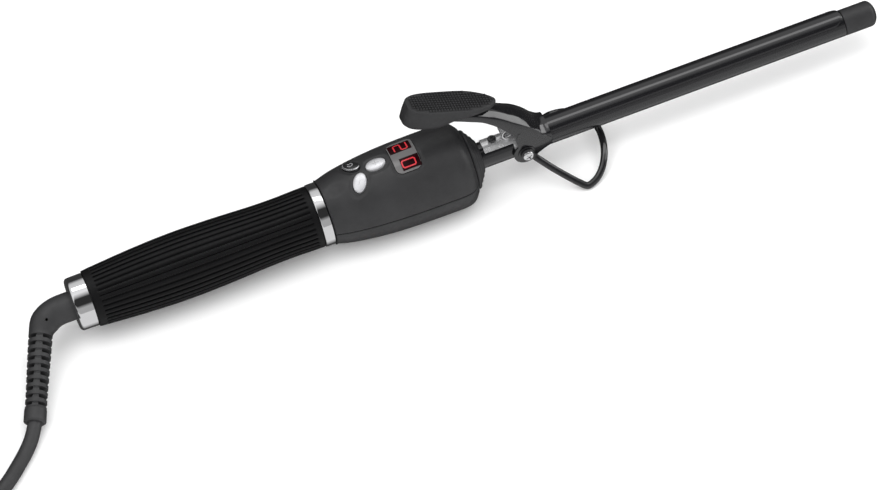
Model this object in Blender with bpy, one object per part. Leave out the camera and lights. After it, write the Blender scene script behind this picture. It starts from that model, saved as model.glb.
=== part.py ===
"""A spring-clip curling iron with a stand, a display housing, a ribbed grip and a mains cord.

The barrel lies along +X and the clip is on top (+Z). The iron stands on z = 0, on the feet of its
wire stand and on the flat under its housing. x = 0 is halfway between its rear cap and its tip.
"""

import math

import bmesh
import bpy
from mathutils import Matrix, Vector

MM = 0.001

# ---------------------------------------------------------------- driving dimensions
IRON_LENGTH = 414.6 * MM
AXIS_Z = 20.2 * MM  # height of the barrel's axis above the table
REAR_X = -IRON_LENGTH / 2
TIP_X = IRON_LENGTH / 2
GAP = 0.3 * MM  # clearance between neighbouring pieces

BARREL_R = 6.5 * MM
BARREL_WALL = 0.8 * MM
BARREL_REAR_X = -24 * MM
TIP_CAP_X = 190.1 * MM

CAP_FRONT_X = -198.4 * MM  # chrome cap: from REAR_X to here
CAP_R = 13.2 * MM
GRIP_FRONT_X = -84.3 * MM
RING_FRONT_X = -78.9 * MM
CORE_R = 11.2 * MM
CORE_WALL = 1.7 * MM
HOUSING_FRONT_X = -5.8 * MM
HOUSING_WALL = 2.0 * MM
PAD_FLAT = AXIS_Z  # the flat under the housing is this far below the axis

PIVOT_X = 22.0 * MM  # screws of the clip and the stand
CLIP_GAP = 0.25 * MM  # blade above barrel
CLIP_SHEET = 0.85 * MM
BLADE_HALF_ANGLE = math.radians(48)
BLADE_REAR_X = 29.3 * MM
BLADE_FRONT_X = 189.2 * MM
STAND_WIRE_R = 1.7 * MM

CORD_R = 3.5 * MM
COIL_TURNS_MID_R = 39.2 * MM  # 11.2 cord diameters across at the middle of the turns
COIL_ROWS = 4
COIL_CENTRE = Vector((-357 * MM, -41.6 * MM, 0))
TIE_THICKNESS = 1.4 * MM

ROUND = 32  # facets of the large round pieces
SMALL = 12  # facets of screws, washers and rings

# ---------------------------------------------------------------- scene and materials
for old in list(bpy.data.objects):
    bpy.data.objects.remove(old, do_unlink=True)


def make_material(name, color, roughness, metallic=0.0):
    material = bpy.data.materials.new(name)
    material.use_nodes = True
    shader = material.node_tree.nodes["Principled BSDF"]
    shader.inputs["Base Color"].default_value = (*color, 1.0)
    shader.inputs["Roughness"].default_value = roughness
    shader.inputs["Metallic"].default_value = metallic
    return material


SOFT_GREY = make_material("soft_touch_grey", (0.040, 0.040, 0.041), 0.55)
RUBBER = make_material("grip_rubber", (0.012, 0.012, 0.012), 0.7)
BLACK_GLOSS = make_material("black_gloss", (0.010, 0.010, 0.011), 0.15)
CHROME = make_material("chrome", (0.80, 0.80, 0.82), 0.08, 1.0)
STEEL = make_material("plated_steel", (0.60, 0.60, 0.62), 0.25, 1.0)
SILVER_PLASTIC = make_material("silver_plastic", (0.62, 0.62, 0.63), 0.35, 0.6)
DARK_GLASS = make_material("dark_lens", (0.03, 0.03, 0.03), 0.08)
MODULE_BLACK = make_material("module_black", (0.015, 0.010, 0.010), 0.4)
BOARD_GREEN = make_material("board_green", (0.02, 0.12, 0.05), 0.5)
INNER_PLASTIC = make_material("inner_plastic", (0.10, 0.10, 0.10), 0.6)
CERAMIC = make_material("ceramic_white", (0.75, 0.73, 0.68), 0.5)
ALUMINIUM = make_material("aluminium", (0.65, 0.65, 0.66), 0.35, 1.0)
BRASS = make_material("brass", (0.70, 0.50, 0.20), 0.3, 1.0)
CORD_BLACK = make_material("cord_black", (0.050, 0.050, 0.052), 0.5)
LEAD_WHITE = make_material("lead_white", (0.60, 0.60, 0.58), 0.5)


def make_empty(name, location):
    empty = bpy.data.objects.new(name, None)
    empty.location = location
    bpy.context.scene.collection.objects.link(empty)
    return empty


BARREL_AXIS = make_empty("barrel_axis", (0, 0, AXIS_Z))
CLIP_PIVOT = make_empty("clip_pivot", (PIVOT_X, 0, AXIS_Z))
STAND_PIVOT = make_empty("stand_pivot", (PIVOT_X, 0, AXIS_Z))
SWIVEL_AXIS = make_empty("swivel_axis", (REAR_X, 0, AXIS_Z))


def add_piece(name, bm, material, parent=None, matrix=None):
    """Turns bm into the object called name. Its coordinates are those of parent, or of matrix."""
    bmesh.ops.recalc_face_normals(bm, faces=bm.faces)
    mesh = bpy.data.meshes.new(name)
    bm.to_mesh(mesh)
    bm.free()
    mesh.materials.append(material)
    mesh.shade_smooth()
    mesh.set_sharp_from_angle(angle=math.radians(35))
    piece = bpy.data.objects.new(name, mesh)
    bpy.context.scene.collection.objects.link(piece)
    if matrix is not None:
        piece.matrix_world = matrix
    if parent is not None:
        piece.parent = parent
    return piece


def add_boolean(piece, bm, operation, matrix=None):
    """Cuts bm out of piece, or joins it on. The other operand stays as a hidden guide."""
    bmesh.ops.recalc_face_normals(bm, faces=bm.faces)
    mesh = bpy.data.meshes.new(piece.name + "_tool")
    bm.to_mesh(mesh)
    bm.free()
    tool = bpy.data.objects.new(piece.name + "_tool", mesh)
    bpy.context.scene.collection.objects.link(tool)
    tool.hide_render = True
    tool.display_type = "WIRE"
    if matrix is not None:
        tool.matrix_world = matrix
    tool.parent = piece.parent
    boolean = piece.modifiers.new(operation.lower(), "BOOLEAN")
    boolean.operation = operation
    boolean.solver = "EXACT"
    boolean.object = tool
    return tool


# ---------------------------------------------------------------- shapes
def smooth_curve(points, steps):
    """Points on the smooth curve through the given ones, steps to each stretch."""
    points = [Vector(p) for p in points]
    ends = [2 * points[0] - points[1], *points, 2 * points[-1] - points[-2]]
    curve = []
    for i in range(1, len(ends) - 2):
        a, b, c, d = ends[i - 1 : i + 3]
        for k in range(steps):
            t = k / steps
            curve.append(
                0.5 * (2 * b + (c - a) * t + (2 * a - 5 * b + 4 * c - d) * t**2
                       + (3 * b - a - 3 * c + d) * t**3)
            )
    return [*curve, points[-1]]


def turned(profile, segments=ROUND, start=0.0, sweep=math.tau):
    """Turns (x, radius) points about the X axis, from angle start; angle 0 is +Z, and +Y is 90 degrees.

    The profile is a closed outline of the wall, or it runs from the axis to the axis.
    """
    bm = bmesh.new()
    full = sweep > math.tau - 1e-6
    solid = profile[0][1] == 0
    rings = []
    for i in range(segments if full else segments + 1):
        angle = start + sweep * i / segments
        ring = []
        for j, (x, radius) in enumerate(profile):
            if radius == 0 and rings:
                ring.append(rings[0][j])
            else:
                ring.append(bm.verts.new((x, radius * math.sin(angle), radius * math.cos(angle))))
        rings.append(ring)
    count = len(profile)
    for i in range(segments):
        here, there = rings[i], rings[(i + 1) % len(rings)]
        for j in range(count - 1 if solid else count):
            corners = [here[j], there[j], there[(j + 1) % count], here[(j + 1) % count]]
            corners = list(dict.fromkeys(corners))
            if len(corners) > 2:
                bm.faces.new(corners)
    if not full:
        bm.faces.new(rings[0])
        bm.faces.new(rings[-1])
    return bm


def lofted(sections):
    """Joins closed sections with the same number of points and closes both ends."""
    bm = bmesh.new()
    rings = [[bm.verts.new(p) for p in section] for section in sections]
    count = len(rings[0])
    for here, there in zip(rings, rings[1:]):
        for j in range(count):
            k = (j + 1) % count
            bm.faces.new((here[j], here[k], there[k], there[j]))
    bm.faces.new(rings[0])
    bm.faces.new(rings[-1])
    return bm


def swept(path, radius, sides=8):
    """A round rod along path; radius is a number, or a function of the share of the length."""
    path = [Vector(p) for p in path]
    lengths = [0.0]
    for a, b in zip(path, path[1:]):
        lengths.append(lengths[-1] + (b - a).length)
    tangent = (path[1] - path[0]).normalized()
    side = tangent.orthogonal().normalized()
    sections = []
    for i, point in enumerate(path):
        before, after = path[max(i - 1, 0)], path[min(i + 1, len(path) - 1)]
        direction = (after - before).normalized()
        side = (side - direction * side.dot(direction)).normalized()
        up = direction.cross(side)
        r = radius(lengths[i] / lengths[-1]) if callable(radius) else radius
        sections.append(
            [
                point + r * (math.cos(a) * side + math.sin(a) * up)
                for a in (math.tau * k / sides for k in range(sides))
            ]
        )
    return lofted(sections)


def box(low, high, bevel=0.0):
    bm = bmesh.new()
    bmesh.ops.create_cube(bm, size=1)
    low, high = Vector(low), Vector(high)
    for v in bm.verts:
        v.co = (low + high) / 2 + Vector(a * b for a, b in zip(v.co, high - low))
    if bevel:
        bmesh.ops.bevel(bm, geom=bm.edges[:], offset=bevel, segments=1, affect="EDGES")
    return bm


def rod(start, end, radius, sides=SMALL):
    """A plain cylinder between two points."""
    start, end = Vector(start), Vector(end)
    turn = (end - start).to_track_quat("Z", "Y").to_matrix().to_4x4()
    bm = bmesh.new()
    bmesh.ops.create_cone(
        bm, cap_ends=True, segments=sides, radius1=radius, radius2=radius,
        depth=(end - start).length,
        matrix=Matrix.Translation((start + end) / 2) @ turn,
    )
    return bm


def plate(outline, y_low, y_high):
    """A flat plate of the (x, z) outline between two values of y."""
    return lofted([[(x, y, z) for x, z in outline] for y in (y_low, y_high)])


# ---------------------------------------------------------------- handle
def add_rear_cap():
    hole_r, wall, chamfer = 7.6 * MM, 1.4 * MM, 1.0 * MM
    profile = [
        (CAP_FRONT_X, CAP_R), (REAR_X + chamfer, CAP_R), (REAR_X, CAP_R - chamfer),
        (REAR_X, hole_r), (REAR_X + wall, hole_r), (REAR_X + wall, CAP_R - wall),
        (CAP_FRONT_X, CAP_R - wall),
    ]
    add_piece("rear_cap", turned(profile), CHROME, BARREL_AXIS)


GRIP_STATIONS = [  # (x, radius) of the rubber sleeve, in mm
    (-198.1, 13.9), (-192.9, 14.4), (-172.8, 15.8), (-152.6, 16.5), (-132.4, 16.1),
    (-112.1, 15.2), (-100.0, 15.0), (-91.5, 15.2), (-84.3, 15.3),
]


def add_grip():
    outer = [(x * MM, r * MM) for x, r in GRIP_STATIONS]
    bore = CORE_R + GAP
    profile = outer + [(outer[-1][0], bore), (outer[0][0], bore)]
    add_piece("grip_sleeve", turned(profile), RUBBER, BARREL_AXIS)
    rear, front, bore = REAR_X + 1.7 * MM, -67.5 * MM, CORE_R - CORE_WALL
    profile = [(rear, CORE_R), (front, CORE_R), (front, bore), (rear, bore)]
    add_piece("grip_core", turned(profile, 24), INNER_PLASTIC, BARREL_AXIS)
    rear, front, crown = GRIP_FRONT_X + GAP, RING_FRONT_X, 15.6 * MM
    edge, bore = crown - 0.4 * MM, CORE_R + GAP
    profile = [
        (rear, bore), (rear, edge), (rear + 0.5 * MM, crown), (front - 0.5 * MM, crown),
        (front, edge), (front, bore),
    ]
    add_piece("front_ring", turned(profile), CHROME, BARREL_AXIS)


# ---------------------------------------------------------------- housing
HOUSING_STATIONS = [  # (x, radius) of the housing's side, in mm
    (-78.6, 15.9), (-70.9, 17.9), (-60.7, 19.5), (-50.7, 20.5), (-40.5, 21.05), (-30.3, 21.25),
    (-21.6, 21.3), (-15.5, 21.3), (-11.1, 20.9), (-8.5, 19.7),
]
NOSE_STATIONS = [(-7.0, 18.2), (-5.8, 16.6)]
HOUSING_CURVE = [Vector((x * MM, r * MM, 0)) for x, r in HOUSING_STATIONS]


def housing_radius(x):
    """Outer radius of the housing at x."""
    for a, b in zip(HOUSING_CURVE, HOUSING_CURVE[1:]):
        if a.x <= x <= b.x:
            return a.y + (b.y - a.y) * (x - a.x) / (b.x - a.x)
    return HOUSING_CURVE[-1].y


def housing_shell(middle):
    """One half of the housing; middle is the angle of its crown."""
    hole_r, rear_lip = 9.0 * MM, CORE_R + GAP
    outer = [(p.x, p.y) for p in HOUSING_CURVE] + [(x * MM, r * MM) for x, r in NOSE_STATIONS]
    inner = [(x, r - HOUSING_WALL) for x, r in outer if x < -10 * MM]
    inner = [(inner[0][0] + HOUSING_WALL, inner[0][1] + 0.4 * MM)] + inner[1:]
    inner_front = HOUSING_FRONT_X - HOUSING_WALL
    profile = outer + [(HOUSING_FRONT_X, hole_r), (inner_front, hole_r), (inner_front, 16.5 * MM)]
    profile += inner[::-1]
    profile += [(inner[0][0], rear_lip), (outer[0][0], rear_lip)]
    half_gap = 0.5 * GAP / (14 * MM)  # the seam is a gap of about GAP at the inner lips
    return turned(profile, ROUND // 2, middle - math.pi / 2 + half_gap, math.pi - 2 * half_gap)


def saddle_patch(centre_x, half_x, half_arc, corner, outer_r, inner_r):
    """A rounded rectangle on the crown of the housing, between two radii at each x."""
    columns, rows = 3, 12
    top_radius = housing_radius(centre_x)

    def half_width(arc):
        past = abs(arc) - (half_arc - corner)
        if past <= 0:
            return half_x
        return half_x - corner + math.sqrt(max(corner**2 - past**2, 0))

    bm = bmesh.new()
    sheets = []
    for radius_at in (outer_r, inner_r):
        sheet = []
        for i in range(rows + 1):
            share = math.sin(math.pi / 2 * (2 * i / rows - 1))  # rows crowd towards the ends
            arc = share * half_arc
            angle = arc / top_radius
            line = []
            for j in range(columns + 1):
                x = centre_x + half_width(arc) * (2 * j / columns - 1)
                r = radius_at(x)
                line.append(bm.verts.new((x, r * math.sin(angle), r * math.cos(angle))))
            sheet.append(line)
        sheets.append(sheet)
    top, bottom = sheets
    for i in range(rows):
        for j in range(columns):
            for sheet in sheets:
                bm.faces.new((sheet[i][j], sheet[i][j + 1], sheet[i + 1][j + 1], sheet[i + 1][j]))
        for j in (0, columns):
            bm.faces.new((top[i][j], top[i + 1][j], bottom[i + 1][j], bottom[i][j]))
    for i in (0, rows):
        for j in range(columns):
            bm.faces.new((top[i][j], top[i][j + 1], bottom[i][j + 1], bottom[i][j]))
    return bm


WINDOW_X = -35.7 * MM
WINDOW_HALF_X = 6.4 * MM
WINDOW_HALF_ARC = 10.4 * MM
WINDOW_CORNER = 3.2 * MM
LENS_THICKNESS = 1.5 * MM

# Three oval buttons point away from a common centre.
BUTTON_CENTRE_X = -56.8 * MM
BUTTON_SPREAD = 6.9 * MM
BUTTON_LONG, BUTTON_SHORT = 5.0 * MM, 3.2 * MM
BUTTON_TRAVEL = 0.8 * MM
STEM_R = 1.2 * MM
BUTTONS = {"plus": 0, "minus": -120, "power": 126}  # direction from the centre, in degrees from +X


def button_matrix(direction):
    """Local X runs along the oval and local Z out of the housing; the parent is the barrel axis."""
    turn = math.radians(direction)
    x = BUTTON_CENTRE_X + BUTTON_SPREAD * math.cos(turn)
    radius = housing_radius(x)
    angle = BUTTON_SPREAD * math.sin(turn) / radius
    slope = (housing_radius(x + MM) - housing_radius(x - MM)) / (2 * MM)
    place = Matrix.Rotation(-angle, 4, "X") @ Matrix.Translation((x, 0, radius))
    return place @ Matrix.Rotation(-math.atan(slope), 4, "Y") @ Matrix.Rotation(turn, 4, "Z")


def oval(scale_x, scale_y, z, count=16):
    return [
        (scale_x * math.cos(a), scale_y * math.sin(a), z)
        for a in (math.tau * k / count for k in range(count))
    ]


def add_buttons():
    stem_end, neck, flange = -6.0 * MM, -3.7 * MM, -3.1 * MM
    for name, direction in BUTTONS.items():
        sections = [oval(STEM_R, STEM_R, stem_end), oval(STEM_R, STEM_R, neck)]
        wide_x, wide_y = BUTTON_LONG * 0.86, BUTTON_SHORT * 1.15
        sections += [oval(wide_x, wide_y, neck), oval(wide_x, wide_y, flange)]
        sections.append(oval(BUTTON_LONG * 0.84, BUTTON_SHORT * 0.9, flange))
        for share, height in ((1, -1.6 * MM), (1, 0.1 * MM), (0.9, 0.6 * MM), (0.55, 0.95 * MM)):
            sections.append(oval(BUTTON_LONG * share, BUTTON_SHORT * share, height))
        material = BLACK_GLOSS if name == "power" else SILVER_PLASTIC
        add_piece(name + "_button", lofted(sections), material, BARREL_AXIS, button_matrix(direction))


def add_housing():
    upper = add_piece("upper_housing", housing_shell(0), SOFT_GREY, BARREL_AXIS)
    lower = add_piece("lower_housing", housing_shell(math.pi), SOFT_GREY, BARREL_AXIS)
    window = saddle_patch(
        WINDOW_X, WINDOW_HALF_X + GAP, WINDOW_HALF_ARC + GAP, WINDOW_CORNER + GAP,
        lambda x: 24 * MM, lambda x: 16 * MM,
    )
    add_boolean(upper, window, "DIFFERENCE")
    for direction in BUTTONS.values():
        hole_x, hole_y = BUTTON_LONG + GAP, BUTTON_SHORT + GAP
        hole = lofted([oval(hole_x, hole_y, -3.0 * MM), oval(hole_x, hole_y, 3.0 * MM)])
        add_boolean(upper, hole, "DIFFERENCE", button_matrix(direction))
    # the flat under the lower half
    under = box((-66 * MM, -12 * MM, -30 * MM), (0, 12 * MM, -PAD_FLAT))
    add_boolean(lower, under, "DIFFERENCE")
    # screw posts on both sides of the barrel
    post_x, post_y, post_r, post_end = -15.6 * MM, 12.0 * MM, 3.6 * MM, 13.8 * MM
    joint, thread_end, seat, outside = 0.4 * MM, 9.5 * MM, -10 * MM, -25 * MM
    bore_r, sink_r = 1.6 * MM, 2.8 * MM
    for side, label in ((-1, "near"), (1, "far")):
        y = side * post_y
        add_boolean(upper, rod((post_x, y, joint), (post_x, y, post_end), post_r), "UNION")
        add_boolean(lower, rod((post_x, y, -post_end), (post_x, y, -joint), post_r), "UNION")
        add_boolean(upper, rod((post_x, y, -MM), (post_x, y, thread_end), bore_r), "DIFFERENCE")
        add_boolean(lower, rod((post_x, y, outside), (post_x, y, 2 * MM), bore_r), "DIFFERENCE")
        add_boolean(lower, rod((post_x, y, outside), (post_x, y, seat), sink_r), "DIFFERENCE")
        head = [(-11.8, 0), (-11.8, 2.4), (-10.3, 2.4), (-10.3, 1.3), (9, 1.3), (9, 0)]
        screw = turned([(z * MM, r * MM) for z, r in head], 12)
        upright = Matrix.Translation((post_x, y, 0)) @ Matrix.Rotation(-math.pi / 2, 4, "Y")
        add_piece("housing_screw_" + label, screw, STEEL, BARREL_AXIS, upright)
    lens = saddle_patch(
        WINDOW_X, WINDOW_HALF_X, WINDOW_HALF_ARC, WINDOW_CORNER,
        lambda x: housing_radius(x) - 0.1 * MM, lambda x: housing_radius(x) - LENS_THICKNESS,
    )
    add_piece("display_lens", lens, DARK_GLASS, BARREL_AXIS)


def add_front_collar():
    spigot_x, bore = -8.2 * MM, BARREL_R + GAP
    profile = [
        (spigot_x, bore), (spigot_x, 8.7 * MM), (-5.5 * MM, 8.7 * MM), (-5.5 * MM, 14.2 * MM),
        (-5.0 * MM, 14.9 * MM), (-3.9 * MM, 14.9 * MM), (-3.4 * MM, 14.2 * MM),
        (-3.4 * MM, 12.2 * MM), (-2.6 * MM, 11.8 * MM), (-0.8 * MM, 9.6 * MM),
        (0.6 * MM, 7.8 * MM), (0.6 * MM, bore),
    ]
    add_piece("front_collar", turned(profile, 24), SOFT_GREY, BARREL_AXIS)


# ---------------------------------------------------------------- electronics inside the housing
BOARD_TOP = 9.4 * MM


def add_electronics():
    board = box((-65.8 * MM, -10.5 * MM, 8 * MM), (-29.5 * MM, 10.5 * MM, BOARD_TOP))
    add_piece("circuit_board", board, BOARD_GREEN, BARREL_AXIS)
    low = (WINDOW_X - 5.6 * MM, -9 * MM, BOARD_TOP + GAP)
    high = (WINDOW_X + 5.6 * MM, 9 * MM, 16.2 * MM)
    add_piece("display_module", box(low, high, 0.5 * MM), MODULE_BLACK, BARREL_AXIS)
    for name, direction in BUTTONS.items():
        centre = button_matrix(direction) @ Vector((0, 0, -8 * MM))
        half = 1.7 * MM
        low = (centre.x - half, centre.y - half, BOARD_TOP + GAP)
        high = (centre.x + half, centre.y + half, BOARD_TOP + 1.5 * MM)
        add_piece(name + "_switch", box(low, high, 0.3 * MM), INNER_PLASTIC, BARREL_AXIS)


# ---------------------------------------------------------------- barrel and heater
def add_barrel():
    inner = BARREL_R - BARREL_WALL
    ends = (BARREL_REAR_X, TIP_CAP_X - GAP)
    profile = [(ends[0], BARREL_R), (ends[1], BARREL_R), (ends[1], inner), (ends[0], inner)]
    add_piece("barrel_tube", turned(profile, 28), BLACK_GLOSS, BARREL_AXIS)
    plug_r = inner - GAP
    profile = [
        (TIP_CAP_X - 7 * MM, 0), (TIP_CAP_X - 7 * MM, plug_r), (TIP_CAP_X, plug_r),
        (TIP_CAP_X, BARREL_R), (TIP_X - 2.2 * MM, BARREL_R), (TIP_X - 0.9 * MM, 5.9 * MM),
        (TIP_X - 0.2 * MM, 4.6 * MM), (TIP_X, 2.8 * MM), (TIP_X, 0),
    ]
    add_piece("tip_cap", turned(profile, 28), SOFT_GREY, BARREL_AXIS)
    bore, hub_r, rim_r = BARREL_R + GAP, 8.0 * MM, 17.2 * MM
    profile = [
        (-22.6 * MM, bore), (-22.6 * MM, rim_r), (-20.4 * MM, rim_r), (-20.4 * MM, hub_r),
        (-11.0 * MM, 7.6 * MM), (-11.0 * MM, bore),
    ]
    add_piece("barrel_bush", turned(profile, 24), CERAMIC, BARREL_AXIS)


def add_heater():
    rear, front = 30 * MM, 150 * MM
    strip = box((rear, -3.6 * MM, -0.65 * MM), (front, 3.6 * MM, 0.65 * MM))
    add_piece("heater_strip", strip, CERAMIC, BARREL_AXIS)
    radius, seat = 5.3 * MM, 0.95 * MM
    first = math.asin(seat / radius)
    for label, sign in (("upper", 1), ("lower", -1)):
        outline = []
        for k in range(13):
            a = first + (math.pi - 2 * first) * k / 12
            outline.append((radius * math.cos(a), sign * radius * math.sin(a)))
        shoe = lofted([[(x, y, z) for y, z in outline] for x in (rear + 2 * MM, front - 2 * MM)])
        add_piece("heater_shoe_" + label, shoe, ALUMINIUM, BARREL_AXIS)
    sensor = rod((22 * MM, 0, 3.2 * MM), (28 * MM, 0, 3.2 * MM), 1.1 * MM, 8)
    add_piece("temperature_sensor", sensor, CERAMIC, BARREL_AXIS)
    for label, side in (("near", -1), ("far", 1)):
        route = [(-36, 5, 6.6), (-32, 4.4, 4.2), (-27, 3.2, 1.4), (-20, 2.4, 0.3), (4, 2.2, 0), (29, 2.2, 0)]
        path = smooth_curve([(x * MM, side * y * MM, z * MM) for x, y, z in route], 2)
        add_piece("heater_lead_" + label, swept(path, 0.7 * MM, 6), LEAD_WHITE, BARREL_AXIS)


# ---------------------------------------------------------------- clip, pivot and stand
BRACKET_IN = BARREL_R + 0.15 * MM
BRACKET_OUT = 7.3 * MM
BOSS_END = 7.5 * MM  # |y| of the bracket's bosses
EAR_IN, EAR_OUT = 7.7 * MM, 8.35 * MM
WASHER_IN, WASHER_OUT = 8.55 * MM, 8.85 * MM
EYE_IN, EYE_OUT = 9.05 * MM, 9.95 * MM
HEAD_IN, HEAD_OUT = 10.15 * MM, 11.6 * MM
SCREW_R = 1.5 * MM
HOLE_R = SCREW_R + GAP


def add_pivot():
    """Saddle bracket on the neck, with the two pivot screws and their washers."""
    ring = [(17.1, BRACKET_IN), (26.1, BRACKET_IN), (26.1, BRACKET_OUT), (17.1, BRACKET_OUT)]
    ring = [(x * MM, r) for x, r in ring]
    side = math.radians(112)
    bracket = add_piece("pivot_bracket", turned(ring, 20, -side, 2 * side), STEEL, BARREL_AXIS)
    low, high = BRACKET_IN + 0.12 * MM, BRACKET_OUT - 0.12 * MM  # a little thinner than the ring
    tongue = [(2.6 * MM, low), (18.1 * MM, low), (18.1 * MM, high), (2.6 * MM, high)]
    half = math.radians(40)
    add_boolean(bracket, turned(tongue, 8, -half, 2 * half), "UNION")
    for sign in (-1, 1):
        start, end = (PIVOT_X, sign * 6.9 * MM, 0), (PIVOT_X, sign * BOSS_END, 0)
        add_boolean(bracket, rod(start, end, 2.9 * MM), "UNION")
    for sign in (-1, 1):
        start, end = (PIVOT_X, sign * 6.6 * MM, 0), (PIVOT_X, sign * 9 * MM, 0)
        add_boolean(bracket, rod(start, end, HOLE_R, 12), "DIFFERENCE")
    add_boolean(bracket, rod((8.1 * MM, 0, 6 * MM), (8.1 * MM, 0, 9 * MM), 1.3 * MM, 12), "DIFFERENCE")

    head = [(7.35, 0), (7.35, 1.0), (8.2, 1.0), (8.2, 2.1), (9.3, 2.1), (9.6, 1.5), (9.6, 0)]
    screw = turned([(z * MM, r * MM) for z, r in head], 12)
    upright = Matrix.Translation((8.1 * MM, 0, 0)) @ Matrix.Rotation(-math.pi / 2, 4, "Y")
    add_piece("bracket_screw", screw, STEEL, BARREL_AXIS, upright)

    for label, sign in (("near", -1), ("far", 1)):
        across = Matrix.Translation((PIVOT_X, 0, 0)) @ Matrix.Rotation(sign * math.pi / 2, 4, "Z")
        outline = [
            (BRACKET_IN + 0.1 * MM, 0), (BRACKET_IN + 0.1 * MM, SCREW_R), (HEAD_IN, SCREW_R),
            (HEAD_IN, 2.6 * MM), (HEAD_OUT - 0.7 * MM, 2.6 * MM), (HEAD_OUT, 1.7 * MM), (HEAD_OUT, 0),
        ]
        screw = turned(outline, SMALL)
        add_piece("pivot_screw_" + label, screw, CHROME, BARREL_AXIS, across)
        outline = [(WASHER_IN, HOLE_R), (WASHER_OUT, HOLE_R), (WASHER_OUT, 4.2 * MM), (WASHER_IN, 4.2 * MM)]
        washer = turned(outline, SMALL)
        add_piece("pivot_washer_" + label, washer, BLACK_GLOSS, BARREL_AXIS, across)


# Stations of the lever arm, from the blade to the thumb pad, in mm from the pivot:
# x, height of its crown, half width, height of its side edges.
LEVER_STATIONS = [
    (13.7, 8.9, 8.0, 1.6), (11.4, 9.4, 8.3, 2.0), (8.9, 11.3, 8.4, 3.6), (6.3, 14.9, 8.4, 5.4),
    (3.7, 18.0, 8.4, 6.8), (1.0, 20.6, 8.4, 8.2), (-1.3, 22.5, 8.3, 9.6), (-3.7, 24.3, 7.9, 11.8),
    (-6.5, 26.5, 7.3, 15.8), (-9.9, 28.9, 6.7, 20.6), (-13.8, 31.2, 6.2, 24.8), (-18.6, 34.0, 5.8, 28.8),
    (-24.8, 37.3, 5.5, 32.2), (-32.1, 40.9, 5.1, 36.0), (-39.3, 44.4, 4.7, 40.0),
]


def lever_section(x, crown, half, edge, arc_points=9):
    """The bent sheet at one x: an arch with two side walls."""
    rise = 3.2 * MM

    def arch(width, top, bottom):
        points = [(x, -width, bottom)]
        for k in range(arc_points):
            a = math.pi * (1 - k / (arc_points - 1))
            points.append((x, width * math.cos(a), top - rise + rise * math.sin(a)))
        return [*points, (x, width, bottom)]

    edge = min(edge, crown - rise - 0.3 * MM)
    outer = arch(half, crown, edge)
    inner = arch(half - CLIP_SHEET, crown - CLIP_SHEET, edge)
    return outer + inner[::-1]


def ear_outline():
    """(x, z) outline of an ear about the pivot, in the clip's own frame."""
    lobe_r = 6.4 * MM
    lobe = [
        (lobe_r * math.cos(math.radians(a)), lobe_r * math.sin(math.radians(a)))
        for a in range(125, 331, 19)
    ]
    edge = [(9.0, -1.4), (13.4, 0.4), (13.4, 4.4), (8.6, 9.0), (2.0, 14.4), (-2.6, 14.4), (-4.2, 10.4)]
    return lobe + [(x * MM, z * MM) for x, z in edge]


def add_clip():
    inner = BARREL_R + CLIP_GAP
    outer = inner + CLIP_SHEET
    sections = []
    tip = 5.0 * MM
    stations = [BLADE_REAR_X + k * (BLADE_FRONT_X - tip - BLADE_REAR_X) / 4 for k in range(5)]
    stations += [BLADE_FRONT_X - tip * (1 - math.sin(math.radians(a))) for a in (25, 50, 72, 88)]
    for x in stations:
        past = max(x - (BLADE_FRONT_X - tip), 0) / tip
        half = BLADE_HALF_ANGLE * math.sqrt(max(1 - past**2, 0.01))
        angles = [half * (k / 5 - 1) for k in range(11)]
        section = [(x - PIVOT_X, outer * math.sin(a), outer * math.cos(a)) for a in angles]
        section += [(x - PIVOT_X, inner * math.sin(a), inner * math.cos(a)) for a in reversed(angles)]
        sections.append(section)
    add_piece("clip_blade", lofted(sections), BLACK_GLOSS, CLIP_PIVOT)

    sections = [lever_section(*(value * MM for value in station)) for station in LEVER_STATIONS]
    lever = add_piece("clip_lever", lofted(sections), BLACK_GLOSS, CLIP_PIVOT)
    inset = 0.05 * MM
    for sign in (-1, 1):
        ear = plate(ear_outline(), sign * EAR_IN, sign * (EAR_OUT - inset))
        add_boolean(lever, ear, "UNION")
        hole = rod((0, sign * 7 * MM, 0), (0, sign * 9.2 * MM, 0), HOLE_R, 12)
        add_boolean(lever, hole, "DIFFERENCE")


PAD_FRONT = Vector((-8.4 * MM, 0, 35.7 * MM))  # top of the pad's front end, from the pivot
PAD_PITCH = math.radians(22.9)
PAD_STATIONS = [  # distance from the front end, half width, thickness, in mm
    (0, 1.1, 3.2), (1.3, 2.4, 3.3), (4.2, 4.3, 3.4), (9.5, 6.3, 3.8), (15.5, 7.5, 5.0),
    (22.7, 7.7, 7.1), (28.5, 7.7, 10.2), (35, 7.5, 11.2), (40, 6.9, 11.7), (43.5, 5.7, 11.8),
    (45.5, 4.2, 11.5), (46.5, 2.8, 11.2),
]


def pad_section(along, half, thickness, count=6):
    """One closed section of the pad: flat top, rounded side walls, in its own pitched frame."""
    points = []
    for side in (1, -1):
        for k in range(count):
            share = k / (count - 1)
            down = share if side == 1 else 1 - share
            bulge = 0.35 * MM * math.sin(math.pi * down)
            points.append((along, side * (half + bulge), -thickness * down))
    return points


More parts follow.
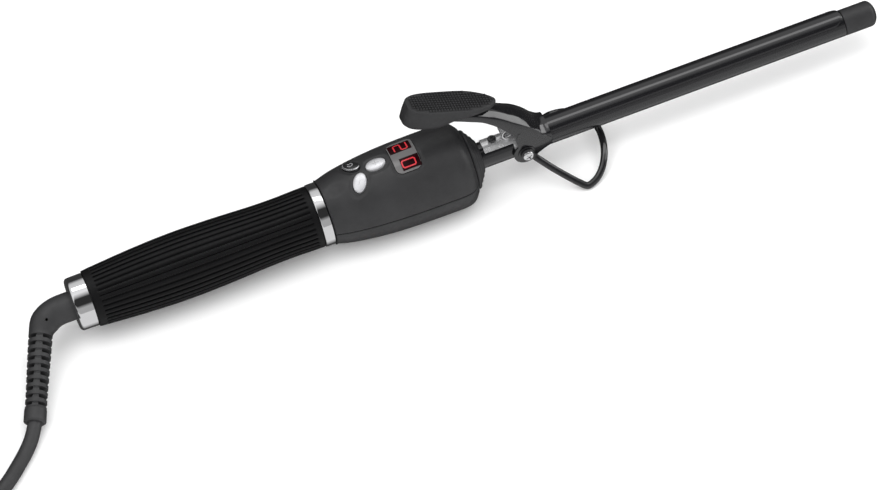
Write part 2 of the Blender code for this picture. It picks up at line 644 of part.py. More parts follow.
def add_thumb_pad():
    pitched = Matrix.Translation(PAD_FRONT) @ Matrix.Rotation(PAD_PITCH, 4, "Y")
    pitched = pitched @ Matrix.Rotation(math.pi, 4, "Z")
    sections = [pad_section(s * MM, w * MM, t * MM) for s, w, t in PAD_STATIONS]
    pad = add_piece("thumb_pad", lofted(sections), SOFT_GREY, CLIP_PIVOT, pitched)
    hollow = []
    for s, w, t in PAD_STATIONS[2:-2]:
        half = min(w - 1.3, 6.9) * MM
        low = -(t + 3) * MM
        roof = -(1.6 + 0.05 * s) * MM
        hollow.append([(s * MM, half, roof), (s * MM, half, low), (s * MM, -half, low), (s * MM, -half, roof)])
    mouth = hollow[0]
    hollow.insert(0, [(-3 * MM, y * 0.99, z) for _, y, z in mouth])
    add_boolean(pad, lofted(hollow), "DIFFERENCE", pitched)


def add_clip_spring():
    """A wound spring on the bracket, with one leg up to the lever."""
    coil_r, wire_r, centre = 2.5 * MM, 0.5 * MM, Vector((15.5 * MM, 0, 10.8 * MM))
    turns, pitch = 4.25, 1.35 * MM
    steps = 9
    path = []
    first = -turns * pitch / 2
    for k in range(int(turns * steps) + 1):
        a = -math.pi / 2 - math.tau * k / steps
        offset = Vector((coil_r * math.cos(a), first + pitch * k / steps, coil_r * math.sin(a)))
        path.append(centre + offset)
    last = path[-1]
    path += [last + Vector((-0.2 * MM, 0, z * MM)) for z in (3, 7, 11)]
    add_piece("clip_spring", swept(path, wire_r, 6), CHROME, BARREL_AXIS)


FOOT_X = 22.2 * MM  # from the pivot
FOOT_Y = 25.4 * MM
BAR_BULGE = 17.0 * MM
BAR_DROP = 11.7 * MM  # middle of the bar below the barrel's axis
LEG_SAG = 1.1 * MM


def stand_path():
    """Centreline of the bent wire, from the near eye to the far one, about the pivot."""
    foot_z = STAND_WIRE_R - AXIS_Z
    eye_y = (EYE_IN + EYE_OUT) / 2
    near = [Vector((0, -eye_y, 0)), Vector((3.1 * MM, -eye_y - 0.6 * MM, -2.7 * MM))]
    foot = Vector((FOOT_X, -FOOT_Y, foot_z))
    for share in (0.35, 0.7, 0.86):
        sag = LEG_SAG * math.sin(math.pi * share)
        near.append(near[1].lerp(foot, share) - Vector((0, 0, sag)))
    near += [foot + Vector((0.6 * MM, 0.1 * MM, 0))]
    bar = []
    for k in range(1, 8):
        a = math.radians(90 * k / 8 + 4)
        y = -FOOT_Y * math.cos(a)
        rise = 1 - (y / FOOT_Y) ** 2
        x = FOOT_X + BAR_BULGE * math.sin(a)
        bar.append(Vector((x, y, foot_z + (-BAR_DROP - foot_z) * rise)))
    apex = Vector((FOOT_X + BAR_BULGE, 0, -BAR_DROP))
    half = near + bar
    mirrored = [Vector((p.x, -p.y, p.z)) for p in reversed(half)]
    return smooth_curve(half + [apex] + mirrored, 2)


def add_stand():
    bail = add_piece("stand_bail", swept(stand_path(), STAND_WIRE_R, 8), BLACK_GLOSS, STAND_PIVOT)
    for sign in (-1, 1):
        add_boolean(bail, rod((0, sign * EYE_IN, 0), (0, sign * EYE_OUT, 0), 3.2 * MM), "UNION")
    for sign in (-1, 1):
        slot = rod((0, sign * 6 * MM, 0), (0, sign * EYE_IN, 0), 4.4 * MM)
        add_boolean(bail, slot, "DIFFERENCE")
        seat = rod((0, sign * EYE_OUT, 0), (0, sign * 13.5 * MM, 0), 3.3 * MM)
        add_boolean(bail, seat, "DIFFERENCE")
        hole = rod((0, sign * 9 * MM, 0), (0, sign * 12 * MM, 0), HOLE_R, 12)
        add_boolean(bail, hole, "DIFFERENCE")


# ---------------------------------------------------------------- swivel, strain relief and cord
RELIEF_DIRECTION = Vector((-0.391, -0.885, -0.256)).normalized()
RELIEF_CORNER = Vector((-15.3 * MM, 0, 0))  # where the elbow's two straight runs would meet
RELIEF_LENGTH = 55 * MM  # from that corner to its end


def relief_path():
    """Centreline of the elbow and boot, about the rear end of the axis."""
    start = Vector((2.0 * MM, 0, 0))
    bend = 9.0 * MM
    before = RELIEF_CORNER + Vector((bend, 0, 0))
    after = RELIEF_CORNER + RELIEF_DIRECTION * bend
    corner = []
    for k in range(1, 6):
        t = k / 6
        corner.append(before * (1 - t) ** 2 + 2 * RELIEF_CORNER * t * (1 - t) + after * t**2)
    straight = [
        RELIEF_CORNER + RELIEF_DIRECTION * (bend + (RELIEF_LENGTH - bend) * k / 6) for k in range(1, 7)
    ]
    return [start, before, *corner, after, *straight]


def relief_radius(share):
    """Thick at the cap, thinner along the boot, with a short collar at its end."""
    if share < 0.26:
        return 7.1 * MM
    if share > 0.88:
        return 5.4 * MM
    return (5.9 - 0.8 * (share - 0.26)) * MM


def add_swivel():
    relief = swept(relief_path(), relief_radius, 16)
    add_piece("strain_relief", relief, CORD_BLACK, SWIVEL_AXIS)
    hub = [
        (2.3, 0), (2.3, 6.0), (8.6, 6.0), (8.6, 4.9), (12.8, 4.9), (12.8, 7.4), (15.0, 7.4),
        (15.0, 3.9), (28.0, 3.9), (28.0, 0),
    ]
    add_piece("swivel_hub", turned([(x * MM, r * MM) for x, r in hub], 16), INNER_PLASTIC, SWIVEL_AXIS)
    inner = CORE_R - CORE_WALL - GAP
    keeper = [(9.0, 5.2), (12.5, 5.2), (12.5, inner / MM), (9.0, inner / MM)]
    keeper = turned([(REAR_X + x * MM, r * MM) for x, r in keeper], 16)
    add_piece("swivel_retainer", keeper, INNER_PLASTIC, BARREL_AXIS)
    for label, x, side in (("rear", 17.0, -1), ("front", 22.0, 1)):
        ring = [(x, 4.2), (x + 3, 4.2), (x + 3, 5.2), (x, 5.2)]
        ring = turned([(a * MM, r * MM) for a, r in ring], 16)
        add_piece("slip_ring_" + label, ring, BRASS, SWIVEL_AXIS)
        low = (REAR_X + (x + 0.7) * MM, -1.5 * MM, side * 7.2 * MM - 1.7 * MM)
        high = (REAR_X + (x + 2.3) * MM, 1.5 * MM, side * 7.2 * MM + 1.7 * MM)
        add_piece("slip_contact_" + label, box(low, high), BRASS, BARREL_AXIS)
    for label, side in (("near", -1), ("far", 1)):
        route = [(-176, 3.5, -3), (-156, 4.5, -2), (-116, 5, 1), (-78, 5, 4), (-64, 6, 6.6)]
        path = smooth_curve([(x * MM, side * y * MM, z * MM) for x, y, z in route], 3)
        add_piece("supply_lead_" + label, swept(path, 0.9 * MM, 6), LEAD_WHITE, BARREL_AXIS)


COIL_R_OUT = COIL_TURNS_MID_R + 8.2 * MM  # centreline of the outermost turn
COIL_R_IN = COIL_TURNS_MID_R - 8.2 * MM
COIL_LOW = TIE_THICKNESS + GAP  # the strap passes under the coil
COIL_HIGH = COIL_LOW + (2 * CORD_R + 0.1 * MM) * COIL_ROWS

# Route of the cord over the table, in mm: from the strain relief to the coil, and from it to the plug.
LEAD_ROUTE = [
    (-248.0, -55.0, 4.5), (-251.2, -59.1, 3.9), (-255.0, -63.4, 3.6), (-259.4, -68.0, 3.6),
    (-264.2, -72.8, 3.6), (-270.0, -77.6, 3.6), (-276.8, -82.0, 3.6), (-284.5, -85.6, 3.7),
    (-293.5, -88.0, 3.8), (-304.0, -89.0, 4.2), (-317.0, -89.0, 4.7), (-331.0, -89.0, 5.0),
    (-344.0, -89.0, 5.2),
]
TAIL_ROUTE = [
    (-406.0, -31.6, 26.4), (-408.8, -20.6, 25.0), (-408.8, -9.6, 22.2), (-404.8, 1.0, 18.6),
    (-397.4, 10.0, 14.9), (-387.6, 17.0, 11.6), (-376.6, 21.0, 9.2), (-366.0, 22.3, 7.8),
    (-356.5, 22.4, 7.2),
]
PLUG_REAR = Vector((-356 * MM, 22.4 * MM, 7.2 * MM))
TIE_ANGLE = math.radians(20)  # where the strap holds the coil, seen from above


def add_cord_tube(name, points):
    curve = bpy.data.curves.new(name, "CURVE")
    curve.dimensions = "3D"
    curve.bevel_depth = CORD_R
    curve.bevel_resolution = 3
    curve.use_fill_caps = True
    spline = curve.splines.new("POLY")
    spline.points.add(len(points) - 1)
    for target, point in zip(spline.points, points):
        target.co = (*point, 1)
    curve.materials.append(CORD_BLACK)
    tube = bpy.data.objects.new(name, curve)
    bpy.context.scene.collection.objects.link(tube)
    return tube


def relief_end():
    return Vector((REAR_X, 0, AXIS_Z)) + RELIEF_CORNER + RELIEF_DIRECTION * RELIEF_LENGTH


def outside_coil(points):
    """The points whose cord is clear of the coil."""
    reach = COIL_R_OUT + 2 * CORD_R + 2 * GAP
    return [p for p in points if (p.xy - COIL_CENTRE.xy).length > reach]


def add_cord():
    start = relief_end() + RELIEF_DIRECTION * 0.6 * MM
    lead = smooth_curve([start, *(Vector(p) * MM for p in LEAD_ROUTE)], 2)
    add_cord_tube("cord_lead", outside_coil(lead))
    tail = smooth_curve([Vector(p) * MM for p in TAIL_ROUTE], 2)
    add_cord_tube("cord_tail", outside_coil(tail))
    outer, inner = COIL_R_OUT + CORD_R, COIL_R_IN - CORD_R
    # the ring is turned about X and then stood on its side
    profile = [(COIL_LOW, inner), (COIL_LOW, outer), (COIL_HIGH, outer), (COIL_HIGH, inner)]
    upright = Matrix.Translation(COIL_CENTRE) @ Matrix.Rotation(-math.pi / 2, 4, "Y")
    add_piece("cord_coil", turned(profile, 40), CORD_BLACK, None, upright)

    thick, half_width = TIE_THICKNESS, 6 * MM
    curved = inner - math.sqrt(inner**2 - half_width**2)  # the inner wall bends away behind the strap
    low, high = (inner - curved - GAP, COIL_LOW - GAP), (outer + GAP, COIL_HIGH + GAP)
    outer_loop = [(low[0] - thick, low[1] - thick), (high[0] + thick, low[1] - thick),
                  (high[0] + thick, high[1] + thick), (low[0] - thick, high[1] + thick)]
    inner_loop = [low, (high[0], low[1]), high, (low[0], high[1])]
    bm = bmesh.new()
    loops = []
    for loop in (outer_loop, inner_loop):
        loops.append([[bm.verts.new((x, y, z)) for x, z in loop] for y in (-half_width, half_width)])
    for k in range(4):
        n = (k + 1) % 4
        for side in (0, 1):
            bm.faces.new([loops[0][side][k], loops[0][side][n], loops[1][side][n], loops[1][side][k]])
        for loop in loops:
            bm.faces.new([loop[0][k], loop[0][n], loop[1][n], loop[1][k]])
    turn = Matrix.Translation(COIL_CENTRE) @ Matrix.Rotation(TIE_ANGLE, 4, "Z")
    add_piece("cord_tie", bm, RUBBER, None, turn)


def add_plug():
    """A moulded two-blade plug lying flat; its relief points back along -X."""
    sections = []
    for along, half_y, half_z in (
        (0, 3.9, 3.9), (3, 4.2, 4.1), (18, 5.0, 4.6), (22, 8.4, 5.6), (27, 11.0, 6.6),
        (34, 11.6, 7.0), (46, 11.6, 7.0), (48, 11.2, 6.6),
    ):
        squareness = 2 + 2.2 * min(max((along - 16) / 8, 0), 1)
        ring = []
        for k in range(20):
            c, s = math.cos(math.tau * k / 20), math.sin(math.tau * k / 20)
            y = math.copysign(abs(c) ** (2 / squareness), c) * half_y
            z = math.copysign(abs(s) ** (2 / squareness), s) * half_z
            ring.append((along * MM, y * MM, z * MM))
        sections.append(ring)
    place = Matrix.Translation(PLUG_REAR)
    body = add_piece("plug_body", lofted(sections), CORD_BLACK, None, place)
    face_x, blade_y, thick = 48 * MM, 6.35 * MM, 1.5 * MM
    for label, sign, half_height in (("near", -1, 3.95 * MM), ("far", 1, 3.15 * MM)):
        y = sign * blade_y
        low = Vector((face_x - 6 * MM, y - thick / 2, -half_height))
        high = Vector((face_x + 17.5 * MM, y + thick / 2, half_height))
        margin = Vector((GAP, GAP, GAP))
        add_boolean(body, box(low - margin, high + margin), "DIFFERENCE", place)
        blade = add_piece("plug_blade_" + label, box(low, high, 0.3 * MM), BRASS, None, place)
        tip_hole = face_x + 13.5 * MM
        hole = rod((tip_hole, y - 2 * MM, 0), (tip_hole, y + 2 * MM, 0), 1.6 * MM, 12)
        add_boolean(blade, hole, "DIFFERENCE", place)


add_rear_cap()
add_grip()
add_housing()
add_buttons()
add_front_collar()
add_electronics()
add_barrel()
add_heater()
add_pivot()
add_clip()
add_thumb_pad()
add_clip_spring()
add_stand()
add_swivel()
add_cord()
add_plug()
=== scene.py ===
"""Looks of the spring-clip curling iron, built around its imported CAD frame."""

import math

import bmesh
import bpy
from mathutils import Matrix, Vector


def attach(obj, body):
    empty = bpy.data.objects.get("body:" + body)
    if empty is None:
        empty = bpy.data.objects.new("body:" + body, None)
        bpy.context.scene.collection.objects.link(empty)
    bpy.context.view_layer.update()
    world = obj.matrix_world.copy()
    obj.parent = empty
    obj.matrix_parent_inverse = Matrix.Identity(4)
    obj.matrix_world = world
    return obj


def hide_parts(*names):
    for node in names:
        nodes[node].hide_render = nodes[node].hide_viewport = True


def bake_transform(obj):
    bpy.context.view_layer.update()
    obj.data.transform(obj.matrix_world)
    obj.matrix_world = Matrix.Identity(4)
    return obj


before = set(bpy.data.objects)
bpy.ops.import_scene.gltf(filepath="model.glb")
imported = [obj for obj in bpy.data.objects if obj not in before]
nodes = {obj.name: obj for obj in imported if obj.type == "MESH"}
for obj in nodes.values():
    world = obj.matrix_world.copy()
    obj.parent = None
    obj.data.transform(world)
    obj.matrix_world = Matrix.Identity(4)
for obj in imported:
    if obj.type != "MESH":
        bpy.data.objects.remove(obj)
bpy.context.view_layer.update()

MM = 0.001
AXIS_Z = 20.2 * MM
AXIS = Vector((0, 0, AXIS_Z))

# ---------------------------------------------------------------- camera
CAMERA_AZIMUTH = math.radians(-11.694)
CAMERA_ELEVATION = math.radians(49.5)
CAMERA_ROLL = math.radians(-11.310)
CAMERA_DISTANCE = 2.4
CAMERA_TARGET = Vector((-26.81, 0, -32.10)) * MM
FOCAL_PIXELS = 4924.8
IMAGE_WIDTH = 880
SENSOR_WIDTH = 36  # in mm


def to_scene(thing):
    bpy.context.scene.collection.objects.link(thing)


def add_camera():
    a, e, roll = CAMERA_AZIMUTH, CAMERA_ELEVATION, CAMERA_ROLL
    back = Vector((math.sin(a) * math.cos(e), -math.cos(a) * math.cos(e), math.sin(e)))
    right = (-back).cross(Vector((0, 0, 1))).normalized()
    up = right.cross(-back)
    turned_right = math.cos(roll) * right + math.sin(roll) * up
    turned_up = -math.sin(roll) * right + math.cos(roll) * up
    data = bpy.data.cameras.new("camera")
    data.sensor_width = SENSOR_WIDTH
    data.lens = FOCAL_PIXELS * SENSOR_WIDTH / IMAGE_WIDTH
    data.clip_end = 20
    camera = bpy.data.objects.new("camera", data)
    matrix = Matrix((turned_right, turned_up, back)).transposed().to_4x4()
    matrix.translation = CAMERA_TARGET + back * CAMERA_DISTANCE
    camera.matrix_world = matrix
    to_scene(camera)
    bpy.context.scene.camera = camera


add_camera()


# ---------------------------------------------------------------- materials
COAT_ROUGHNESS = 0.05
RAMP_LOW, RAMP_HIGH = 0.3, 0.7  # most of a noise lies between these
GRAIN_DEPTH = 0.1 * MM


def make_material(
    name, color, rough, metallic=0.0, mottle=0.12, mottle_scale=90.0, rough_spread=0.08,
    grain=0.05, grain_scale=2500.0, coat=0.0, stretch=(1, 1, 1), emission=0.0, specular=0.5,
):
    """Principled material with mottled colour, varying roughness and a fine grain."""
    material = bpy.data.materials.new(name)
    material.use_nodes = True
    tree = material.node_tree
    link = tree.links.new
    shader = tree.nodes["Principled BSDF"]
    shader.inputs["Metallic"].default_value = metallic
    shader.inputs["Specular IOR Level"].default_value = specular
    shader.inputs["Coat Weight"].default_value = coat
    shader.inputs["Coat Roughness"].default_value = COAT_ROUGHNESS
    if emission:
        shader.inputs["Emission Color"].default_value = (*color, 1)
        shader.inputs["Emission Strength"].default_value = emission
    where = tree.nodes.new("ShaderNodeTexCoord")
    mapping = tree.nodes.new("ShaderNodeMapping")
    mapping.inputs["Scale"].default_value = stretch
    link(where.outputs["Object"], mapping.inputs["Vector"])

    def noise(scale, detail):
        node = tree.nodes.new("ShaderNodeTexNoise")
        node.inputs["Scale"].default_value = scale
        node.inputs["Detail"].default_value = detail
        link(mapping.outputs["Vector"], node.inputs["Vector"])
        return node.outputs["Fac"]

    ramp = tree.nodes.new("ShaderNodeValToRGB")
    low, high = ramp.color_ramp.elements
    low.position, high.position = RAMP_LOW, RAMP_HIGH
    low.color = (*(c * (1 - mottle) for c in color), 1)
    high.color = (*(min(c * (1 + mottle), 1) for c in color), 1)
    link(noise(mottle_scale, 4), ramp.inputs["Fac"])
    link(ramp.outputs["Color"], shader.inputs["Base Color"])
    spread = tree.nodes.new("ShaderNodeMapRange")
    spread.inputs["From Min"].default_value = RAMP_LOW
    spread.inputs["From Max"].default_value = RAMP_HIGH
    spread.inputs["To Min"].default_value = max(rough - rough_spread, 0.02)
    spread.inputs["To Max"].default_value = rough + rough_spread
    link(noise(mottle_scale * 5, 3), spread.inputs["Value"])
    link(spread.outputs["Result"], shader.inputs["Roughness"])
    bump = tree.nodes.new("ShaderNodeBump")
    bump.inputs["Strength"].default_value = grain
    bump.inputs["Distance"].default_value = GRAIN_DEPTH
    link(noise(grain_scale, 2), bump.inputs["Height"])
    link(bump.outputs["Normal"], shader.inputs["Normal"])
    return material


SOFT_GREY = make_material("soft_touch_grey", (0.021, 0.021, 0.022), 0.46, grain=0.2, specular=0.42)
PAD_GREY = make_material("pad_grey", (0.022, 0.022, 0.023), 0.58, grain=0.3, specular=0.35)
RUBBER = make_material("grip_rubber", (0.0035, 0.0035, 0.0038), 0.46, grain=0.3, specular=0.2)
ENAMEL = make_material(
    "black_enamel", (0.008, 0.008, 0.009), 0.10, rough_spread=0.03, grain=0.015, coat=0.6,
    stretch=(0.15, 1, 1),
)
CHROME = make_material(
    "chrome", (0.86, 0.86, 0.87), 0.05, 1.0, mottle=0.03, rough_spread=0.02, grain=0.01,
)
STEEL = make_material("plated_steel", (0.70, 0.70, 0.71), 0.22, 1.0, mottle=0.08, grain=0.08)
TIN = make_material("tin_plate", (0.74, 0.74, 0.75), 0.24, 0.7, mottle=0.06, grain=0.08)
SILVER = make_material(
    "silver_plastic", (0.62, 0.62, 0.64), 0.34, 0.55, mottle=0.06, mottle_scale=300, grain=0.25,
)
KEY_BLACK = make_material("key_black", (0.014, 0.014, 0.015), 0.22, grain=0.05, coat=0.4)
# painted reflection: the black window glass is coloured mid grey in place of the grey reflection across
# it
LENS_PAINTED_REFLECTION = make_material(
    "display_window", (0.12, 0.117, 0.118), 0.12, rough_spread=0.03, grain=0.01, specular=0.4,
)
DIGIT_BACK = make_material("digit_back", (0.012, 0.001, 0.002), 0.3, grain=0.01, specular=0.1)
DIGIT = make_material("display_red", (0.42, 0.02, 0.028), 0.3, mottle=0.1, grain=0.01, emission=0.4)
MODULE = make_material("module_black", (0.02, 0.01, 0.01), 0.4)
BOARD = make_material("board_green", (0.02, 0.12, 0.05), 0.45)
INNER = make_material("inner_plastic", (0.10, 0.10, 0.10), 0.6)
CERAMIC = make_material("heater_ceramic", (0.75, 0.73, 0.68), 0.55, grain=0.3)
ALUMINIUM = make_material("aluminium", (0.70, 0.70, 0.71), 0.35, 1.0, grain=0.15)
BRASS = make_material("brass", (0.72, 0.52, 0.22), 0.25, 1.0, grain=0.05)
NICKEL = make_material("nickel", (0.72, 0.70, 0.66), 0.2, 1.0, grain=0.05)
CORD = make_material("cord_black", (0.027, 0.027, 0.028), 0.48, grain=0.2, mottle=0.15, specular=0.4)
STRAP = make_material("strap_fabric", (0.02, 0.02, 0.021), 0.85, grain=0.8, grain_scale=1800)
LEAD = make_material("lead_white", (0.6, 0.6, 0.58), 0.5)


# ---------------------------------------------------------------- helpers
def smoothstep(low, high, value):
    share = min(max((value - low) / (high - low), 0), 1)
    return share * share * (3 - 2 * share)


def metres(pairs):
    return [(a * MM, b * MM) for a, b in pairs]


def smooth_curve(points, steps):
    """Points on the smooth curve through the given ones, steps to each stretch."""
    points = [Vector(p) for p in points]
    ends = [2 * points[0] - points[1], *points, 2 * points[-1] - points[-2]]
    curve = []
    for i in range(1, len(ends) - 2):
        a, b, c, d = ends[i - 1 : i + 3]
        for k in range(steps):
            t = k / steps
            curve.append(
                0.5 * (2 * b + (c - a) * t + (2 * a - 5 * b + 4 * c - d) * t**2
                       + (3 * b - a - 3 * c + d) * t**3)
            )
    return [*curve, points[-1]]


def add_piece(name, bm, material, body, replaced=(), angle=35, matrix=None):
    """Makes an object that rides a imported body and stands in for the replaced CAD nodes."""
    bmesh.ops.recalc_face_normals(bm, faces=bm.faces)
    mesh = bpy.data.meshes.new(name)
    bm.to_mesh(mesh)
    bm.free()
    mesh.materials.append(material)
    mesh.shade_smooth()
    mesh.set_sharp_from_angle(angle=math.radians(angle))
    piece = bpy.data.objects.new(name, mesh)
    to_scene(piece)
    if matrix is not None:
        mesh.transform(matrix)
    if body:
        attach(piece, body)
    if replaced:
        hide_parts(*replaced)
    return piece


def turned(profile, segments=128, start=0.0, sweep=math.tau, height=AXIS_Z, radius_at=None):
    """Turns a closed (x, radius) outline about the iron's axis; angle 0 is +Z and 90 degrees +Y."""
    bm = bmesh.new()
    full = sweep > math.tau - 1e-6
    rings = []
    for i in range(segments if full else segments + 1):
        angle = start + sweep * i / segments
        ring = []
        for j, (x, radius) in enumerate(profile):
            r = radius_at(j, x, radius, angle) if radius_at else radius
            if radius == 0:
                ring.append(rings[0][j] if rings else bm.verts.new((x, 0, height)))
            else:
                ring.append(bm.verts.new((x, r * math.sin(angle), height + r * math.cos(angle))))
        rings.append(ring)
    count = len(profile)
    for i in range(segments):
        here, there = rings[i], rings[(i + 1) % len(rings)]
        for j in range(count):
            corners = [here[j], there[j], there[(j + 1) % count], here[(j + 1) % count]]
            corners = list(dict.fromkeys(corners))
            if len(corners) > 2:
                bm.faces.new(corners)
    if not full:
        bm.faces.new(rings[0])
        bm.faces.new(rings[-1])
    return bm


def lofted(sections, bm=None):
    """A closed body through rings of points, flat at both ends, added to bm if there is one."""
    if bm is None:
        bm = bmesh.new()
    rings = [[bm.verts.new(p) for p in section] for section in sections]
    count = len(rings[0])
    for here, there in zip(rings, rings[1:]):
        for j in range(count):
            k = (j + 1) % count
            bm.faces.new((here[j], here[k], there[k], there[j]))
    bm.faces.new(rings[0])
    bm.faces.new(rings[-1])
    return bm


def swept(path, radius, sides):
    """A rod along path; radius is a number or a function of the length so far and the way out."""
    path = [Vector(p) for p in path]
    lengths = [0.0]
    for a, b in zip(path, path[1:]):
        lengths.append(lengths[-1] + (b - a).length)
    side = (path[1] - path[0]).normalized().orthogonal().normalized()
    sections = []
    for i, point in enumerate(path):
        before, after = path[max(i - 1, 0)], path[min(i + 1, len(path) - 1)]
        direction = (after - before).normalized()
        side = (side - direction * side.dot(direction)).normalized()
        up = direction.cross(side)
        section = []
        for k in range(sides):
            a = math.tau * k / sides
            outward = math.cos(a) * side + math.sin(a) * up
            r = radius(lengths[i], outward) if callable(radius) else radius
            section.append(point + r * outward)
        sections.append(section)
    return lofted(sections)


# ---------------------------------------------------------------- cord
CORD_R = 3.5 * MM
REAR_X = -207.3 * MM
RELIEF_DIRECTION = Vector((-0.391, -0.885, -0.256)).normalized()
RELIEF_CORNER = Vector((REAR_X - 15.3 * MM, 0, AXIS_Z))
RELIEF_LENGTH = 55 * MM
RELIEF_END = RELIEF_CORNER + RELIEF_DIRECTION * RELIEF_LENGTH
COIL_CENTRE = Vector((-357.0, -41.6, 0)) * MM
COIL_OUT, COIL_IN = 47.4 * MM, 31.0 * MM
COIL_LOW, COIL_PITCH, COIL_ROWS = 5.25 * MM, 7.1 * MM, 4
COIL_TURNS = 9.25
LEAD_ROUTE = [  # in mm, from the boot to the coil
    (-248.0, -55.0, 4.5), (-251.2, -59.1, 3.9), (-255.0, -63.4, 3.6), (-259.4, -68.0, 3.6),
    (-264.2, -72.8, 3.6), (-270.0, -77.6, 3.6), (-276.8, -82.0, 3.6), (-284.5, -85.6, 3.7),
    (-293.5, -88.0, 3.8), (-304.0, -89.0, 4.2), (-317.0, -89.0, 4.7), (-331.0, -89.0, 5.0),
    (-344.0, -89.0, 5.2),
]
TAIL_ROUTE = [  # in mm, from the coil to the plug
    (-406.0, -31.6, 26.4), (-408.8, -20.6, 25.0), (-408.8, -9.6, 22.2), (-404.8, 1.0, 18.6),
    (-397.4, 10.0, 14.9), (-387.6, 17.0, 11.6), (-376.6, 21.0, 9.2), (-366.0, 22.3, 7.8),
    (-356.5, 22.4, 7.2),
]


def coil_points():
    """Clockwise from the near side, in rows that go in and out by turns."""
    per_turn = 24
    climb_share = 0.12  # the last part of a row, which climbs to the next
    count = int(COIL_TURNS * per_turn)
    points = []
    for k in range(count + 1):
        turns = k / per_turn
        row = min(turns / (COIL_TURNS / COIL_ROWS), COIL_ROWS - 1e-6)
        index = int(row)
        share = row - index
        inward = share if index % 2 == 0 else 1 - share
        radius = COIL_OUT + (COIL_IN - COIL_OUT) * inward
        climb = smoothstep(1 - climb_share, 1, share) if index < COIL_ROWS - 1 else 0
        angle = -math.pi / 2 - math.tau * turns
        z = COIL_LOW + COIL_PITCH * (index + climb)
        points.append(COIL_CENTRE + Vector((radius * math.cos(angle), radius * math.sin(angle), z)))
    return points


def add_cord():
    start = RELIEF_END - RELIEF_DIRECTION * 4 * MM
    lead = [start, RELIEF_END + RELIEF_DIRECTION * 0.6 * MM, *(Vector(p) * MM for p in LEAD_ROUTE)]
    tail = [Vector(p) * MM for p in TAIL_ROUTE]
    plug_rear = tail[-1] + Vector((2.5 * MM, 0, 0))
    path = smooth_curve([*lead, *coil_points(), *tail, plug_rear], 2)
    cord = add_piece("cord", swept(path, CORD_R, 16), CORD, None)
    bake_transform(cord)
    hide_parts("cord_lead", "cord_coil", "cord_tail")


add_cord()

# ---------------------------------------------------------------- materials of the CAD nodes
FINISHES = {
    "front_collar": SOFT_GREY, "housing_screw_near": STEEL, "housing_screw_far": STEEL,
    "display_module": MODULE, "circuit_board": BOARD, "power_switch": INNER, "plus_switch": INNER,
    "minus_switch": INNER, "grip_core": INNER, "barrel_bush": CERAMIC, "heater_strip": CERAMIC,
    "heater_shoe_upper": ALUMINIUM, "heater_shoe_lower": ALUMINIUM, "temperature_sensor": CERAMIC,
    "heater_lead_near": LEAD, "heater_lead_far": LEAD, "supply_lead_near": LEAD,
    "supply_lead_far": LEAD, "swivel_hub": INNER, "swivel_retainer": INNER,
    "slip_ring_front": BRASS, "slip_ring_rear": BRASS, "slip_contact_front": BRASS,
    "slip_contact_rear": BRASS, "pivot_bracket": TIN, "bracket_screw": STEEL,
    "clip_spring": CHROME, "clip_lever": ENAMEL, "clip_blade": ENAMEL, "stand_bail": ENAMEL,
    "pivot_washer_near": KEY_BLACK, "pivot_washer_far": KEY_BLACK, "pivot_screw_near": CHROME,
    "pivot_screw_far": CHROME, "plug_body": CORD, "plug_blade_near": NICKEL,
    "plug_blade_far": NICKEL, "cord_tie": STRAP, "thumb_pad": PAD_GREY, "strain_relief": CORD,
    "upper_housing": SOFT_GREY, "lower_housing": SOFT_GREY, "front_ring": CHROME,
    "rear_cap": CHROME, "grip_sleeve": RUBBER, "barrel_tube": ENAMEL, "tip_cap": SOFT_GREY,
    "display_lens": LENS_PAINTED_REFLECTION, "power_button": KEY_BLACK, "plus_button": SILVER, "minus_button": SILVER,
}
for name, finish in FINISHES.items():
    node = nodes[name]
    node.data.materials.clear()
    node.data.materials.append(finish)


def refined(stations, steps):
    """(x, radius) points in metres on the smooth curve through stations in mm."""
    return [(p.x, p.y) for p in smooth_curve([Vector((x * MM, r * MM, 0)) for x, r in stations], steps)]


def take_in(bm, other):
    """Moves the faces of other into bm."""
    part = bpy.data.meshes.new("part")
    other.to_mesh(part)
    other.free()
    bm.from_mesh(part)
    bpy.data.meshes.remove(part)


def subtract(piece, cutters):
    """Cuts the closed bodies out of piece for good."""
    bm = bmesh.new()
    for cutter in cutters:
        bmesh.ops.recalc_face_normals(cutter, faces=cutter.faces)
        take_in(bm, cutter)
    mesh = bpy.data.meshes.new("cutter")
    bm.to_mesh(mesh)
    bm.free()
    tool = bpy.data.objects.new("cutter", mesh)
    to_scene(tool)
    boolean = piece.modifiers.new("cut", "BOOLEAN")
    boolean.operation = "DIFFERENCE"
    boolean.solver = "EXACT"
    boolean.object = tool
    bpy.context.view_layer.update()
    graph = bpy.context.evaluated_depsgraph_get()
    result = bpy.data.meshes.new_from_object(piece.evaluated_get(graph))
    piece.modifiers.remove(boolean)
    piece.data = result
    result.shade_smooth()
    result.set_sharp_from_angle(angle=math.radians(35))
    bpy.data.objects.remove(tool, do_unlink=True)


def box_between(low, high):
    bm = bmesh.new()
    bmesh.ops.create_cube(bm, size=1)
    low, high = Vector(low), Vector(high)
    for v in bm.verts:
        v.co = (low + high) / 2 + Vector(a * b for a, b in zip(v.co, high - low))
    return bm


def transformed(bm, matrix):
    bmesh.ops.transform(bm, matrix=matrix, verts=bm.verts)
    return bm


def disc(y_low, y_high, radius, hole, centre, edge):
    """A washer about the Y axis through centre, with softened outer rims."""
    profile = [
        (y_low, radius - edge), (y_low + edge, radius), (y_high - edge, radius),
        (y_high, radius - edge), (y_high, hole), (y_low, hole),
    ]
    bm = turned(profile, SCREW_SEGMENTS, height=0)
    return transformed(bm, Matrix.Translation(centre) @ Matrix.Rotation(math.pi / 2, 4, "Z"))


# ---------------------------------------------------------------- barrel, rings and grip
BARREL_R = 6.5 * MM
BARREL_BORE = BARREL_R - 0.8 * MM
TIP_CAP_X = 190.1 * MM
SOFT_EDGE = 0.15 * MM


